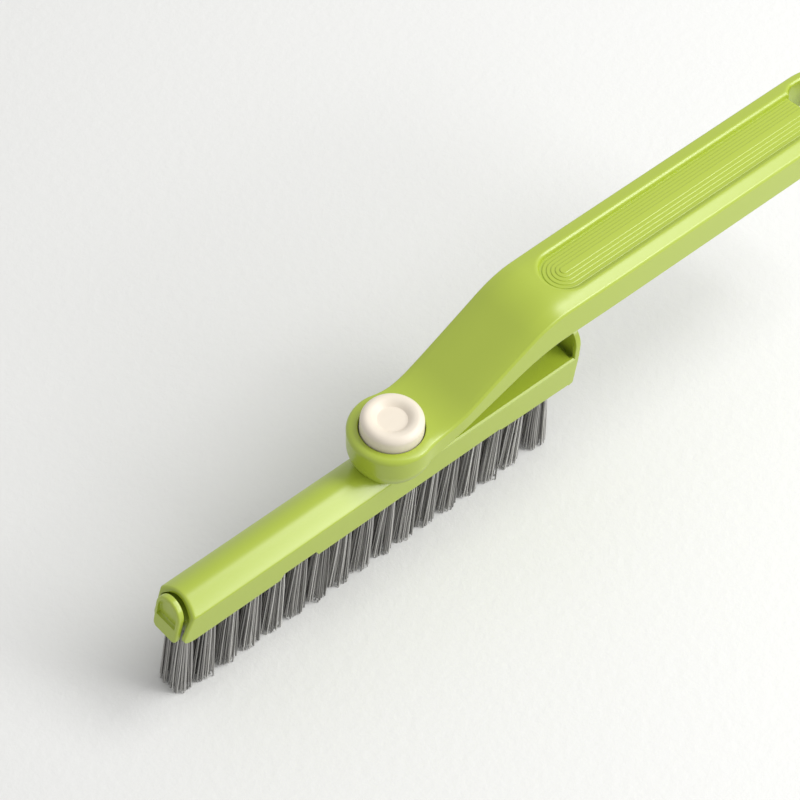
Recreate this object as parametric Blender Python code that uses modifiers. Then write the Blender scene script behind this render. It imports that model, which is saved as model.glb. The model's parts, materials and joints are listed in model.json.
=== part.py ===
# A crevice brush: a narrow brush head with two rows of bristle tufts on a slide-out carrier, an
# S-bent handle that turns on the head, and a sprung push button whose legs click into the turret.
# Metres, +Z up. X runs along the head towards the handle's end and Y across it. The brush stands
# on its bristle tips, and the origin is on the floor under the middle of the whole object.

import math

import bmesh
import bpy
from mathutils import Matrix, Vector

# Driving dimensions of the head
HEAD_LENGTH = 0.1582
PIVOT_FROM_LEFT = 0.0844
HEAD_WIDTH = 0.0158
HEAD_WALL = 0.0015
SKIRT_HEIGHT = 0.0127
SKIRT_LEAN_IN = 0.0009
ROOF_RISE = 0.0040
DECK_RISE = 0.0004
RIDGE_ROUND = 0.0007
ROOF_RUN_OUT = 0.0145
ROOF_DROP = 0.0035
LEFT_END_LEAN = 0.0046
SKIRT_CORNER = 0.0040
RAIL_REACH = 0.0011
RAIL_HEIGHT = 0.0010
NOTCH_START = -0.0526
NOTCH_LENGTH = 0.0184
NOTCH_HEIGHT = 0.0024
NOTCH_SLANT = 0.0041
DEEP_SKIRT_START = 0.0410
DEEP_SKIRT_STEP = 0.0009
DEEP_SKIRT_END = 0.0020
DEEP_SKIRT_HOOK = 0.0030

# The end wall, whose arched lip stands above the deck
END_WALL = 0.0022
END_WALL_PROUD = 0.00005
LIP_STRAIGHT = 0.0050
LIP_SCOOP_DEPTH = 0.0010
LIP_SCOOP_RIM = 0.0012
LIP_SLOT_LENGTH = 0.0008

# The turret on the head that the handle turns on
TURRET_TOP_RADIUS = 0.0138
TURRET_FLARE = 0.0010
TURRET_RIM = 0.0026
TURRET_FOOT_RISE = 0.0028
DETENT_DEPTH = 0.0007
DETENT_HEIGHT = 0.0014
DETENT_COUNT = 12
POST_RADIUS = 0.0040
STOP_KEY_REACH = 0.0012
STOP_KEY_WIDTH = 0.0016

# The handle
BOSS_ABOVE_RIDGE = 0.01605
BOSS_LEDGE = 0.0002
BOSS_DEPTH = 0.0080
NECK_WIDTH = 0.0258
NECK_START = 0.021
GRIP_WIDTH = 0.0269
GRIP_THICKNESS = 0.0150
GRIP_RISE = 0.0226
HANDLE_REACH = 0.1826
TOP_ROUND = 0.0020
FOOT_ROUND = 0.0008
SIDE_DRAFT = 0.0003
CROWN = 0.0009
TOP_BEND_START = 0.007
TOP_BEND_FULL = 0.022
TOP_BEND_EASE = 0.046
TOP_BEND_END = 0.062
FOOT_BEND_START = 0.009
FOOT_BEND_FULL = 0.013
FOOT_BEND_EASE = 0.042
FOOT_BEND_END = 0.062
NECK_LEAVE_DEG = 75.0
SWING_ARC_DEG = 180.0

# The recessed grip panel, its terraces, the hanging hole and the ribbed underside
PANEL_START = 0.0617
PANEL_WIDTH = 0.0160
PANEL_DEPTH = 0.0013
PANEL_MOAT = 0.0012
TERRACE_COUNT = 5
TERRACE_STEP = 0.00022
TERRACE_DRAFT = 0.00015
HOLE_RIM = 0.0036
HOLE_START = 0.1774
HOLE_CORNER = 0.0042
HOLE_ROUND = 0.0010
POCKET_WALL = 0.0022
POCKET_START = 0.024
POCKET_DRAFT = 0.0005
RIB_THICKNESS = 0.0016
RIB_BAYS = 7

# The button, its legs and the pivot hardware
BOSS_RIM = 0.00395
BUTTON_HEIGHT = 0.0052
BUTTON_DISH_RADIUS = 0.0047
BUTTON_DISH_DEPTH = 0.0010
BUTTON_RIM_ROUND = 0.0029
BUTTON_RIM_DEG = 110.0
BUTTON_WALL = 0.0016
BUTTON_SKIRT = 0.0039
BUTTON_TRAVEL = 0.0020
WEB_THICKNESS = 0.0016
LEG_COUNT = 3
LEG_WIDTH = 0.0040
LEG_THICKNESS = 0.0017
FOOT_HEIGHT = 0.0009
FOOT_CLEARANCE = 0.00025
SCREW_HEAD_RADIUS = 0.0031
SCREW_HEAD_HEIGHT = 0.0016
SCREW_RADIUS = 0.0015
SCREW_LENGTH = 0.0080
SCREW_SLOT_WIDTH = 0.0009
SCREW_SLOT_DEPTH = 0.0008
WASHER_RADIUS = 0.0058
WASHER_THICKNESS = 0.0008
SPRING_RADIUS = 0.0047
SPRING_WIRE = 0.0004
SPRING_TURNS = 4

# The bristle carrier with its pull tab, and the tufts
CARRIER_DROP = 0.0026
CARRIER_HEIGHT = 0.0060
TAB_WIDTH = 0.0098
TAB_RISE = 0.0038
TAB_DROP = 0.0114
TAB_FOOT_WIDTH = 0.0088
TAB_PROUD = 0.0035
TAB_LEAN = 0.0017
TAB_THICKNESS = 0.0022
TAB_BEVEL = 0.0004
TAB_FOOT_ROUND = 0.0016
TAB_PANEL_RIM = 0.0011
TAB_PANEL_DEPTH = 0.0009
TAB_LEDGE_DROP = 0.0056
TAB_NECK_WIDTH = 0.0060
BAR_END = 0.0005
STATIONS = 17
FIRST_STATION = 0.0017
LAST_STATION = 0.0108
ROW_SPACING = 0.0048
TUFT_RADIUS = 0.0017
TUFT_SET_DEPTH = 0.0040
TUFT_TIP_REACH = 0.0042
TUFT_TIP_RADIUS = 0.0033
TUFT_TIP_SPREAD = 0.0012
TUFT_END_SPLAY = 0.0026
BRISTLE_SHOW = 0.0275
ANCHOR_BITE = 0.0002
ANCHOR_THICKNESS = 0.0005
ANCHOR_HEIGHT = 0.0006

# Fits
GAP = 0.0003
OVERRUN = 0.0010
MERGE = 0.000001
TURN_MERGE = 0.00001

# Worked out from the sizes above
TURRET_FOOT_RADIUS = TURRET_TOP_RADIUS - TURRET_FLARE
CUP_RADIUS = TURRET_TOP_RADIUS - TURRET_RIM
BOSS_RADIUS = TURRET_TOP_RADIUS + BOSS_LEDGE
BUTTON_RADIUS = BOSS_RADIUS - BOSS_RIM
HALF_HEAD = HEAD_WIDTH / 2
HALF_GRIP = GRIP_WIDTH / 2
HALF_NECK = NECK_WIDTH / 2
LEFT_X = -PIVOT_FROM_LEFT
RIGHT_X = HEAD_LENGTH - PIVOT_FROM_LEFT
WALL_X = RIGHT_X - END_WALL
SKIRT_Z = BRISTLE_SHOW
RIDGE_Z = SKIRT_Z + SKIRT_HEIGHT
BOSS_TOP = RIDGE_Z + BOSS_ABOVE_RIDGE
BOSS_FOOT = BOSS_TOP - BOSS_DEPTH
TURRET_TOP = BOSS_FOOT - GAP
GRIP_TOP = BOSS_TOP + GRIP_RISE
GRIP_FOOT = GRIP_TOP - GRIP_THICKNESS
FOOT_TOP = BOSS_FOOT - GAP - FOOT_CLEARANCE
FOOT_LOW = FOOT_TOP - FOOT_HEIGHT
CUP_FLOOR = FOOT_LOW - BUTTON_TRAVEL - GAP
WEB_TOP = BOSS_FOOT + WEB_THICKNESS
WELL_RADIUS = BUTTON_RADIUS + GAP
POST_TOP = WEB_TOP + GAP
WASHER_FOOT = POST_TOP + GAP
WASHER_TOP = WASHER_FOOT + WASHER_THICKNESS
BUTTON_TOP = BOSS_TOP + BUTTON_HEIGHT
BUTTON_FOOT = BOSS_TOP - BUTTON_SKIRT
BUTTON_CEILING = BUTTON_TOP - BUTTON_DISH_DEPTH - BUTTON_WALL
LEG_OUTER = BUTTON_RADIUS - GAP
LEG_INNER = LEG_OUTER - LEG_THICKNESS
CARRIER_TOP = RIDGE_Z - CARRIER_DROP
CARRIER_FOOT = CARRIER_TOP - CARRIER_HEIGHT
TAB_FACE_X = LEFT_X - TAB_PROUD
TAB_TOE_X = TAB_FACE_X - TAB_LEAN
FIRST_X = LEFT_X + FIRST_STATION
LAST_X = RIGHT_X - LAST_STATION
BAR_X = FIRST_X - TUFT_RADIUS - GAP - BAR_END
HANDLE_TIP = HANDLE_REACH + HALF_GRIP
PIVOT_X = -(HANDLE_TIP + TAB_TOE_X) / 2
TO_WORLD = Matrix.Translation((PIVOT_X, 0, 0))

# Facets of the round shapes, and how finely the others are cut up
BOSS_FACETS = 40
SMALL_FACETS = 16
TUFT_FACETS = 10
NOTCH_FACETS = 6
RIM_STEPS = 6
CORNER_STEPS = 5
FOOT_ROUND_STEPS = 3
SPRING_STEPS = 14
NECK_STATIONS = 4
BEND_STATIONS = 15
GRIP_STATIONS = 6
BAY_STATIONS = 4
ROUND_STEPS_DEG = (0, 30, 60, 90)
CROWN_SHARES = (0.66, 0.33)
ARCH_SHARES = (0.0, 0.25, 0.5, 0.72, 0.88)
RIDGE_ROUND_SHARE = 0.3
SCREW_CROWN_SHARE = 0.75
SCREW_CROSS_SHARE = 0.5
QUARTER_TURNS = ((1, 0), (0, 1), (-1, 0), (0, -1))
TUFT_LEVEL_SHARES = (0.0, 0.16, 0.45, 0.75, 1.0)
SPLAY_POWER = 1.5


def clear_scene():
    for obj in list(bpy.data.objects):
        bpy.data.objects.remove(obj)
    for collection in list(bpy.data.collections):
        bpy.data.collections.remove(collection)


def new_collection(name):
    collection = bpy.data.collections.new(name)
    bpy.context.scene.collection.children.link(collection)
    return collection


def material(name, color, roughness, metallic=0.0):
    made = bpy.data.materials.new(name)
    made.use_nodes = True
    shader = made.node_tree.nodes["Principled BSDF"]
    shader.inputs["Base Color"].default_value = (*color, 1.0)
    shader.inputs["Roughness"].default_value = roughness
    shader.inputs["Metallic"].default_value = metallic
    return made


clear_scene()
parts = new_collection("crevice_brush")
cutters = new_collection("cutters")
green_plastic = material("green_plastic", (0.50, 0.62, 0.15), 0.38)
cream_plastic = material("cream_plastic", (0.85, 0.80, 0.68), 0.40)
grey_bristle = material("grey_bristle", (0.19, 0.19, 0.17), 0.70)
steel = material("steel", (0.60, 0.60, 0.58), 0.30, 1.0)


def place(bm, name, finish, origin=(0, 0, 0), collection=parts):
    """Closes up a mesh drawn about the pivot axis and makes it an object whose origin is given."""
    bmesh.ops.remove_doubles(bm, verts=bm.verts, dist=MERGE)
    bmesh.ops.dissolve_degenerate(bm, edges=bm.edges, dist=MERGE)
    bmesh.ops.recalc_face_normals(bm, faces=bm.faces)
    start = Vector(origin)
    bmesh.ops.translate(bm, verts=bm.verts, vec=-start)
    mesh = bpy.data.meshes.new(name)
    bm.to_mesh(mesh)
    bm.free()
    if finish:
        mesh.materials.append(finish)
    mesh.shade_smooth()
    mesh.set_sharp_from_angle(angle=math.radians(30))
    made = bpy.data.objects.new(name, mesh)
    made.location = TO_WORLD @ start
    collection.objects.link(made)
    return made


def place_cutter(bm, name):
    made = place(bm, name, None, collection=cutters)
    made.hide_render = True
    made.display_type = "WIRE"
    return made


def boolean(obj, other, operation="DIFFERENCE", solver="EXACT"):
    modifier = obj.modifiers.new(other.name, "BOOLEAN")
    modifier.operation = operation
    modifier.solver = solver
    modifier.object = other


def skin(bm, rings):
    """Joins rings of as many points with quads and closes the first and last ring."""
    rows = [[bm.verts.new(point) for point in ring] for ring in rings]
    for upper, lower in zip(rows, rows[1:]):
        for index in range(len(upper)):
            after = (index + 1) % len(upper)
            bm.faces.new((upper[index], upper[after], lower[after], lower[index]))
    for row in (rows[0], rows[-1]):
        bm.faces.new(row)
    bmesh.ops.triangulate(bm, faces=bm.faces)


def fold(bm, rings):
    """Joins rings that are mirror-equal in Y and closes both ends with strips across Y."""
    rows = [[bm.verts.new(point) for point in ring] for ring in rings]
    count = len(rows[0])
    for upper, lower in zip(rows, rows[1:]):
        for index in range(count):
            after = (index + 1) % count
            bm.faces.new((upper[index], upper[after], lower[after], lower[index]))
    for row in (rows[0], rows[-1]):
        for index in range(count // 2):
            corners = [row[index], row[index + 1], row[-index - 1], row[-index]]
            unique = list(dict.fromkeys(corners))
            bm.faces.new(unique)
    bmesh.ops.triangulate(bm, faces=bm.faces)


def both_sides(half):
    """The whole ring from its +Y half, which starts and ends on the middle plane."""
    return half + [(x, -y, z) for x, y, z in reversed(half[1:-1])]


def arc(radius, start_deg, end_deg, steps):
    turns = [math.radians(start_deg + (end_deg - start_deg) * k / steps) for k in range(steps + 1)]
    return [(radius * math.cos(turn), radius * math.sin(turn)) for turn in turns]


def cylinder(bm, radius, low, high, at=(0, 0), top_radius=None, facets=BOSS_FACETS):
    middle = Matrix.Translation((at[0], at[1], (low + high) / 2))
    bmesh.ops.create_cone(
        bm, cap_ends=True, segments=facets, radius1=radius,
        radius2=radius if top_radius is None else top_radius, depth=high - low, matrix=middle,
    )


def block(bm, low, high, turn=0.0):
    size = [b - a for a, b in zip(low, high)]
    middle = [(a + b) / 2 for a, b in zip(low, high)]
    place_it = Matrix.Rotation(turn, 4, "Z") @ Matrix.Translation(middle) @ Matrix.Diagonal((*size, 1))
    bmesh.ops.create_cube(bm, size=1, matrix=place_it)


def prism(bm, outline, low, high, axis):
    """Extrudes a closed outline of (a, b) points along X or Z, from low to high."""
    if axis == "X":
        rings = [[(x, a, b) for a, b in outline] for x in (low, high)]
    else:
        rings = [[(a, b, z) for a, b in outline] for z in (low, high)]
    skin(bm, rings)


def eased(x, start, full, ease, end):
    """Runs from 0 to 1: the slope grows from start to full, holds, and fades from ease to end."""
    whole = (full - start) / 2 + (ease - full) + (end - ease) / 2
    if x <= start:
        return 0.0
    if x <= full:
        return (x - start) ** 2 / (2 * (full - start)) / whole
    if x <= ease:
        return ((full - start) / 2 + x - full) / whole
    if x < end:
        return 1 - (end - x) ** 2 / (2 * (end - ease)) / whole
    return 1.0


def handle_top(x):
    bend = eased(x, TOP_BEND_START, TOP_BEND_FULL, TOP_BEND_EASE, TOP_BEND_END)
    return BOSS_TOP + GRIP_RISE * bend


def handle_foot(x):
    bend = eased(x, FOOT_BEND_START, FOOT_BEND_FULL, FOOT_BEND_EASE, FOOT_BEND_END)
    return BOSS_FOOT + (GRIP_FOOT - BOSS_FOOT) * bend


def crown_at(x):
    return CROWN * eased(x, TOP_BEND_START, TOP_BEND_FULL, TOP_BEND_EASE, TOP_BEND_END)


def neck_half_width(x):
    """The half width between the round boss and the neck, tangent to both."""
    leave = math.radians(NECK_LEAVE_DEG)
    start_x, start_y = BOSS_RADIUS * math.cos(leave), BOSS_RADIUS * math.sin(leave)
    run = NECK_START - start_x
    t = min(max((x - start_x) / run, 0.0), 1.0)
    slope = -1 / math.tan(leave) * run
    ease = t * t * (3 - 2 * t)
    return start_y + (HALF_NECK - start_y) * ease + slope * t * (1 - t) ** 2


def half_width(x):
    widen = eased(x, NECK_START, TOP_BEND_EASE, TOP_BEND_END, HANDLE_REACH / 2)
    return neck_half_width(x) + (HALF_GRIP - HALF_NECK) * widen


def handle_outline():
    """The +Y half of the handle's outline in plan, as (x, y), from the boss to the far tip."""
    boss = arc(BOSS_RADIUS, 180, NECK_LEAVE_DEG, BOSS_FACETS // 3)
    leave_x = boss[-1][0]
    neck = [leave_x + (NECK_START - leave_x) * k / NECK_STATIONS for k in range(1, NECK_STATIONS + 1)]
    bend_end = max(TOP_BEND_END, FOOT_BEND_END)
    bend = [NECK_START + (bend_end - NECK_START) * k / BEND_STATIONS for k in range(1, BEND_STATIONS + 1)]
    grip = [bend_end + (HANDLE_REACH - bend_end) * k / GRIP_STATIONS for k in range(1, GRIP_STATIONS)]
    sides = [(x, half_width(x)) for x in neck + bend + grip]
    end = [(HANDLE_REACH + x, y) for x, y in arc(HALF_GRIP, 90, 0, BOSS_FACETS // 4)]
    return boss + sides + end


def inset(outline, distance):
    """Moves a half outline inwards, square to itself, keeping its two ends on the middle plane."""
    moved = []
    for index, (x, y) in enumerate(outline):
        before = outline[max(index - 1, 0)]
        after = outline[min(index + 1, len(outline) - 1)]
        if index == 0:
            along = Vector((0, 1))
        elif index == len(outline) - 1:
            along = Vector((0, -1))
        else:
            along = Vector((after[0] - before[0], after[1] - before[1])).normalized()
        moved.append((x + along.y * distance, max(y - along.x * distance, 0.0)))
    return moved


def handle_blank():
    """The S-bent handle, round at both ends, with a soft top edge and a crowned top."""
    outline = handle_outline()
    rings = []
    inner = inset(outline, TOP_ROUND)
    for share in reversed(CROWN_SHARES):
        rings.append([(x, y * share, handle_top(x) - crown_at(x) * share**2) for x, y in inner])
    for degrees in reversed(ROUND_STEPS_DEG):
        turn = math.radians(degrees)
        ring = inset(outline, TOP_ROUND * (1 - math.cos(turn)))
        drop = TOP_ROUND * (1 - math.sin(turn))
        rings.append([(x, y, handle_top(x) - crown_at(x) - drop) for x, y in ring])
    for degrees in ROUND_STEPS_DEG[::3]:
        turn = math.radians(degrees)
        ring = inset(outline, SIDE_DRAFT + FOOT_ROUND * (1 - math.cos(turn)))
        rings.append([(x, y, handle_foot(x) + FOOT_ROUND * (1 - math.sin(turn))) for x, y in ring])
    bm = bmesh.new()
    fold(bm, [both_sides(ring) for ring in rings])
    return place(bm, "handle", green_plastic, origin=(0, 0, BOSS_FOOT))


def stadium(start, end, radius, z, steps=SMALL_FACETS // 2):
    """A ring of an oblong with round ends, as (x, y, z) points, mirror-equal in Y."""
    left = [(start + x, y) for x, y in arc(radius, 180, 90, steps)]
    right = [(end + x, y) for x, y in arc(radius, 90, 0, steps)]
    return both_sides([(x, y, z) for x, y in left + right])


def panel_cutter():
    """The grip's recess: a moat around terraces that step up to the middle line."""
    radius = PANEL_WIDTH / 2
    start, end = PANEL_START + radius, HOLE_START + HOLE_CORNER
    edge = GRIP_TOP - CROWN
    floor = edge - PANEL_DEPTH
    rings = [stadium(start, end, radius + OVERRUN, GRIP_TOP + OVERRUN)]
    rings.append(stadium(start, end, radius, edge - TERRACE_DRAFT))
    rings.append(stadium(start, end, radius - TERRACE_DRAFT, floor))
    tread = (radius - PANEL_MOAT) / TERRACE_COUNT
    for step in range(TERRACE_COUNT):
        width = radius - PANEL_MOAT - tread * step
        rings.append(stadium(start, end, width, floor + TERRACE_STEP * step))
        rings.append(stadium(start, end, width - TERRACE_DRAFT, floor + TERRACE_STEP * (step + 1)))
    bm = bmesh.new()
    fold(bm, rings)
    return place_cutter(bm, "panel_cutter")


def hole_outline(grow):
    """The +Y half of the hanging hole, which follows the handle's round end."""
    corner, reach = HOLE_CORNER + grow, HALF_GRIP - HOLE_RIM + grow
    corner_y = reach - corner
    left = [(HOLE_START + HOLE_CORNER + x, corner_y + y) for x, y in arc(corner, 180, 90, SMALL_FACETS // 4)]
    right = [(HANDLE_REACH + x, y) for x, y in arc(reach, 90, 0, SMALL_FACETS // 2)]
    return [(left[0][0], 0.0)] + left + right


def hole_cutter():
    """The hanging hole, flared where its rims are rounded."""
    top = GRIP_TOP - CROWN
    levels = [
        (HOLE_ROUND + OVERRUN, GRIP_TOP + OVERRUN), (HOLE_ROUND, top), (0.0, top - HOLE_ROUND),
        (0.0, GRIP_FOOT + HOLE_ROUND), (HOLE_ROUND, GRIP_FOOT), (HOLE_ROUND, GRIP_FOOT - OVERRUN),
    ]
    bm = bmesh.new()
    fold(bm, [both_sides([(x, y, z) for x, y in hole_outline(grow)]) for grow, z in levels])
    return place_cutter(bm, "hole_cutter")


def rib_cutter():
    """The bays between the ribs under the handle, which follow the bend of its top."""
    bm = bmesh.new()
    reach = HOLE_START - POCKET_WALL - HOLE_ROUND
    pitch = (reach - POCKET_START + RIB_THICKNESS) / RIB_BAYS
    ceiling = POCKET_WALL + PANEL_DEPTH + CROWN
    for bay in range(RIB_BAYS):
        start = POCKET_START + pitch * bay
        end = start + pitch - RIB_THICKNESS
        stations = [start + (end - start) * k / BAY_STATIONS for k in range(BAY_STATIONS + 1)]
        rings = []
        for x in stations:
            side = half_width(x) - POCKET_WALL
            low, high = handle_foot(x) - OVERRUN, handle_top(x) - ceiling
            narrow = side - POCKET_DRAFT
            rings.append([(x, side, low), (x, narrow, high), (x, -narrow, high), (x, -side, low)])
        piece = bmesh.new()
        skin(piece, rings)
        bmesh.ops.recalc_face_normals(piece, faces=piece.faces)
        scratch = bpy.data.meshes.new("bay")
        piece.to_mesh(scratch)
        piece.free()
        bm.from_mesh(scratch)
        bpy.data.meshes.remove(scratch)
    return place_cutter(bm, "rib_cutter")


def leg_turns():
    return [math.tau * k / LEG_COUNT + math.pi / LEG_COUNT for k in range(LEG_COUNT)]


def well_cutter():
    bm = bmesh.new()
    cylinder(bm, WELL_RADIUS, WEB_TOP, BOSS_TOP + OVERRUN)
    return place_cutter(bm, "well_cutter")


def web_cutter():
    """The bore for the post and the slots for the button's legs, in the web under the well."""
    bm = bmesh.new()
    cylinder(bm, POST_RADIUS + GAP, BOSS_FOOT - OVERRUN, WEB_TOP + OVERRUN, facets=SMALL_FACETS)
    for turn in leg_turns():
        block(
            bm,
            (LEG_INNER - GAP, -LEG_WIDTH / 2 - GAP, BOSS_FOOT - OVERRUN),
            (LEG_OUTER + GAP, LEG_WIDTH / 2 + GAP, WEB_TOP + OVERRUN),
            turn,
        )
    return place_cutter(bm, "web_cutter")


def stop_cutter():
    """The sector in the web's bore that lets the post's key swing from one stop to the other."""
    half_arc = SWING_ARC_DEG / 2
    spare = math.degrees((STOP_KEY_WIDTH / 2 + GAP) / POST_RADIUS)
    start, end = 180 - half_arc - spare, 180 + half_arc + spare
    outer = arc(POST_RADIUS + STOP_KEY_REACH + GAP, start, end, SMALL_FACETS)
    inner = arc(POST_RADIUS - GAP, end, start, SMALL_FACETS)
    bm = bmesh.new()
    prism(bm, outer + inner, BOSS_FOOT - OVERRUN, WEB_TOP + OVERRUN, "Z")
    return place_cutter(bm, "stop_cutter")


def make_handle():
    handle = handle_blank()
    boolean(handle, well_cutter())
    boolean(handle, web_cutter())
    boolean(handle, stop_cutter())
    boolean(handle, rib_cutter())
    boolean(handle, panel_cutter())
    boolean(handle, hole_cutter())
    return handle


def roof_rise(x):
    """The arch over the left part falls to a nearly flat deck past the turret."""
    fall = min(max((x - ROOF_RUN_OUT + ROOF_DROP) / ROOF_DROP, 0.0), 1.0)
    return ROOF_RISE + (DECK_RISE - ROOF_RISE) * fall


def skirt_extra(x):
    """How much deeper the skirt is towards the right end."""
    share = (x - DEEP_SKIRT_START) / (RIGHT_X - DEEP_SKIRT_START)
    return DEEP_SKIRT_STEP + (DEEP_SKIRT_END - DEEP_SKIRT_STEP) * share


def outer_half_width(z):
    return HALF_HEAD - SKIRT_LEAN_IN * (RIDGE_Z - z) / SKIRT_HEIGHT


def arch(half, rise, base):
    """Half of an arched roof, as (y, z), from the middle towards the side."""
    return [(half * share, base + rise * (1 - share**2)) for share in ARCH_SHARES]


def leaned(x, z):
    """The left end leans out towards the floor."""
    return x - LEFT_END_LEAN * (RIDGE_Z - z) / SKIRT_HEIGHT


def tab_leaned(x, z):
    """The pull tab stands steeper than the head's end, and its foot comes out to the same place."""
    return x - TAB_LEAN * (RIDGE_Z - z) / (TAB_DROP - TAB_BEVEL)


def head_section(deeper, rise):
    """The head's cut across X: a channel open below, as (y, z) points."""
    foot = SKIRT_Z - deeper
    outer = arch(HALF_HEAD, rise, RIDGE_Z)
    outer += [(HALF_HEAD - RIDGE_ROUND * RIDGE_ROUND_SHARE, RIDGE_Z), (HALF_HEAD, RIDGE_Z - RIDGE_ROUND)]
    outer += [(outer_half_width(foot), foot)]
    inner_half = HALF_HEAD - HEAD_WALL
    inner = [(outer_half_width(foot) - HEAD_WALL, foot), (inner_half, RIDGE_Z - HEAD_WALL)]
    inner += list(reversed(arch(inner_half, rise, RIDGE_Z - HEAD_WALL)))
    half = outer + inner
    return half + [(-y, z) for y, z in reversed(half[1:-1])]


def head_channel():
    """The arched channel of the head, lofted along X."""
    hook_x = DEEP_SKIRT_START + DEEP_SKIRT_HOOK
    rings = [[(leaned(LEFT_X, z), y, z) for y, z in head_section(0.0, ROOF_RISE)]]
    plain = [(x, 0.0) for x in (ROOF_RUN_OUT - ROOF_DROP, ROOF_RUN_OUT, DEEP_SKIRT_START)]
    deep = [(x, skirt_extra(x)) for x in (hook_x, WALL_X + GAP)]
    for x, deeper in plain + deep:
        rings.append([(x, y, z) for y, z in head_section(deeper, roof_rise(x))])
    bm = bmesh.new()
    skin(bm, rings)
    return place(bm, "head_housing", green_plastic)


def rail_bodies():
    """The two rails inside the skirt that the carrier slides on."""
    bm = bmesh.new()
    high = CARRIER_FOOT - GAP
    low = high - RAIL_HEIGHT
    face = outer_half_width(high) - HEAD_WALL - RAIL_REACH
    buried = outer_half_width(low) - HEAD_WALL / 2
    for near, far in ((face, buried), (-buried, -face)):
        block(bm, (LEFT_X, near, low), (WALL_X + GAP, far, high))
    return place_cutter(bm, "rail_bodies")


def end_wall_outline(grow=END_WALL_PROUD):
    """The end wall's outline as (y, z): the skirt's shape below and a round arch above."""
    foot = SKIRT_Z - DEEP_SKIRT_END - grow
    side = HALF_HEAD + grow
    spring = RIDGE_Z + LIP_STRAIGHT
    top = [(y, spring + z) for y, z in arc(side, 0, 180, SMALL_FACETS)]
    low = outer_half_width(foot) + grow
    return [(low, foot), (side, RIDGE_Z)] + top + [(-side, RIDGE_Z), (-low, foot)]


def end_wall():
    bm = bmesh.new()
    prism(bm, end_wall_outline(), WALL_X, RIGHT_X, "X")
    return place_cutter(bm, "end_wall_body")


def lip_scoop():
    """The hollow in the lip's inner face, as a dished cut that runs below the deck."""
    side = HALF_HEAD + END_WALL_PROUD - LIP_SCOOP_RIM
    spring = RIDGE_Z + LIP_STRAIGHT
    low = RIDGE_Z - HEAD_WALL - OVERRUN
    rings = []
    planes = (WALL_X - LIP_SLOT_LENGTH, 0.0), (WALL_X, 0.0), (WALL_X + LIP_SCOOP_DEPTH, HEAD_WALL)
    for x, narrow in planes:
        top = [(y, spring + z) for y, z in arc(side - narrow, 0, 180, SMALL_FACETS)]
        rings.append([(x, side - narrow, low)] + [(x, y, z) for y, z in top] + [(x, narrow - side, low)])
    bm = bmesh.new()
    skin(bm, rings)
    return place_cutter(bm, "lip_scoop")


def turret_body():
    """The round turret on the roof, which widens towards the handle."""
    bm = bmesh.new()
    cylinder(bm, TURRET_FOOT_RADIUS, RIDGE_Z + TURRET_FOOT_RISE, TURRET_TOP, top_radius=TURRET_TOP_RADIUS)
    return place_cutter(bm, "turret_body")


def cup_outline():
    """The cup's toothed wall: crests with a round notch between each two, as (x, y)."""
    count = DETENT_COUNT * NOTCH_FACETS
    points = []
    for k in range(count):
        turn = math.tau * k / count
        radius = CUP_RADIUS + DETENT_DEPTH * max(0.0, math.cos(turn * DETENT_COUNT))
        points.append((radius * math.cos(turn), radius * math.sin(turn)))
    return points


def cup_cutter():
    bm = bmesh.new()
    prism(bm, cup_outline(), TURRET_TOP - DETENT_HEIGHT, TURRET_TOP + OVERRUN, "Z")
    return place_cutter(bm, "cup_cutter")


def groove_cutter():
    """The plain ring below the notches, in which the pressed legs turn freely."""
    bm = bmesh.new()
    cylinder(bm, CUP_RADIUS + DETENT_DEPTH + GAP, CUP_FLOOR, TURRET_TOP - DETENT_HEIGHT / 2)
    return place_cutter(bm, "groove_cutter")


def post_body():
    bm = bmesh.new()
    cylinder(bm, POST_RADIUS, CUP_FLOOR - DETENT_DEPTH, POST_TOP, facets=SMALL_FACETS)
    return place_cutter(bm, "post_body")


def key_body():
    """The key on the post, which stops the handle at both ends of its swing."""
    bm = bmesh.new()
    low, high = (POST_RADIUS / 2, -STOP_KEY_WIDTH / 2, CUP_FLOOR - DETENT_DEPTH / 2), WEB_TOP - GAP
    block(bm, low, (POST_RADIUS + STOP_KEY_REACH, STOP_KEY_WIDTH / 2, high), math.pi)
    return place_cutter(bm, "key_body")


def screw_hole():
    bm = bmesh.new()
    cylinder(bm, SCREW_RADIUS + GAP, RIDGE_Z, POST_TOP + OVERRUN, facets=SMALL_FACETS)
    return place_cutter(bm, "screw_hole")


def across(outline, name):
    """A cutter from an outline of (x, z) points that runs right across the head."""
    bm = bmesh.new()
    skin(bm, [[(x, y, z) for x, z in outline] for y in (-HEAD_WIDTH, HEAD_WIDTH)])
    return place_cutter(bm, name)


def notch_cutter():
    """The raised stretch of the skirt's edge, with a slant at both ends."""
    start, end = NOTCH_START, NOTCH_START + NOTCH_LENGTH
    overrun = NOTCH_SLANT / NOTCH_HEIGHT * OVERRUN
    outline = [
        (start - overrun, SKIRT_Z - OVERRUN), (end + overrun, SKIRT_Z - OVERRUN),
        (end - NOTCH_SLANT, SKIRT_Z + NOTCH_HEIGHT), (start + NOTCH_SLANT, SKIRT_Z + NOTCH_HEIGHT),
    ]
    return across(outline, "notch_cutter")


def corner_cutter():
    """Rounds the skirt's lower corners at the leaning left end."""
    corner_x = leaned(LEFT_X, SKIRT_Z)
    top_z = SKIRT_Z + SKIRT_CORNER
    curve = []
    for step in range(CORNER_STEPS + 1):
        t = step / CORNER_STEPS
        start, end = (1 - t) ** 2, t**2
        through = 1 - start - end
        x = leaned(LEFT_X, top_z) * start + corner_x * through + (corner_x + SKIRT_CORNER) * end
        curve.append((x, top_z * start + SKIRT_Z * (through + end)))
    low = SKIRT_Z - OVERRUN
    left = corner_x - OVERRUN
    return across([(left, low), (left, top_z)] + curve + [(corner_x + SKIRT_CORNER, low)], "corner_cutter")


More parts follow.
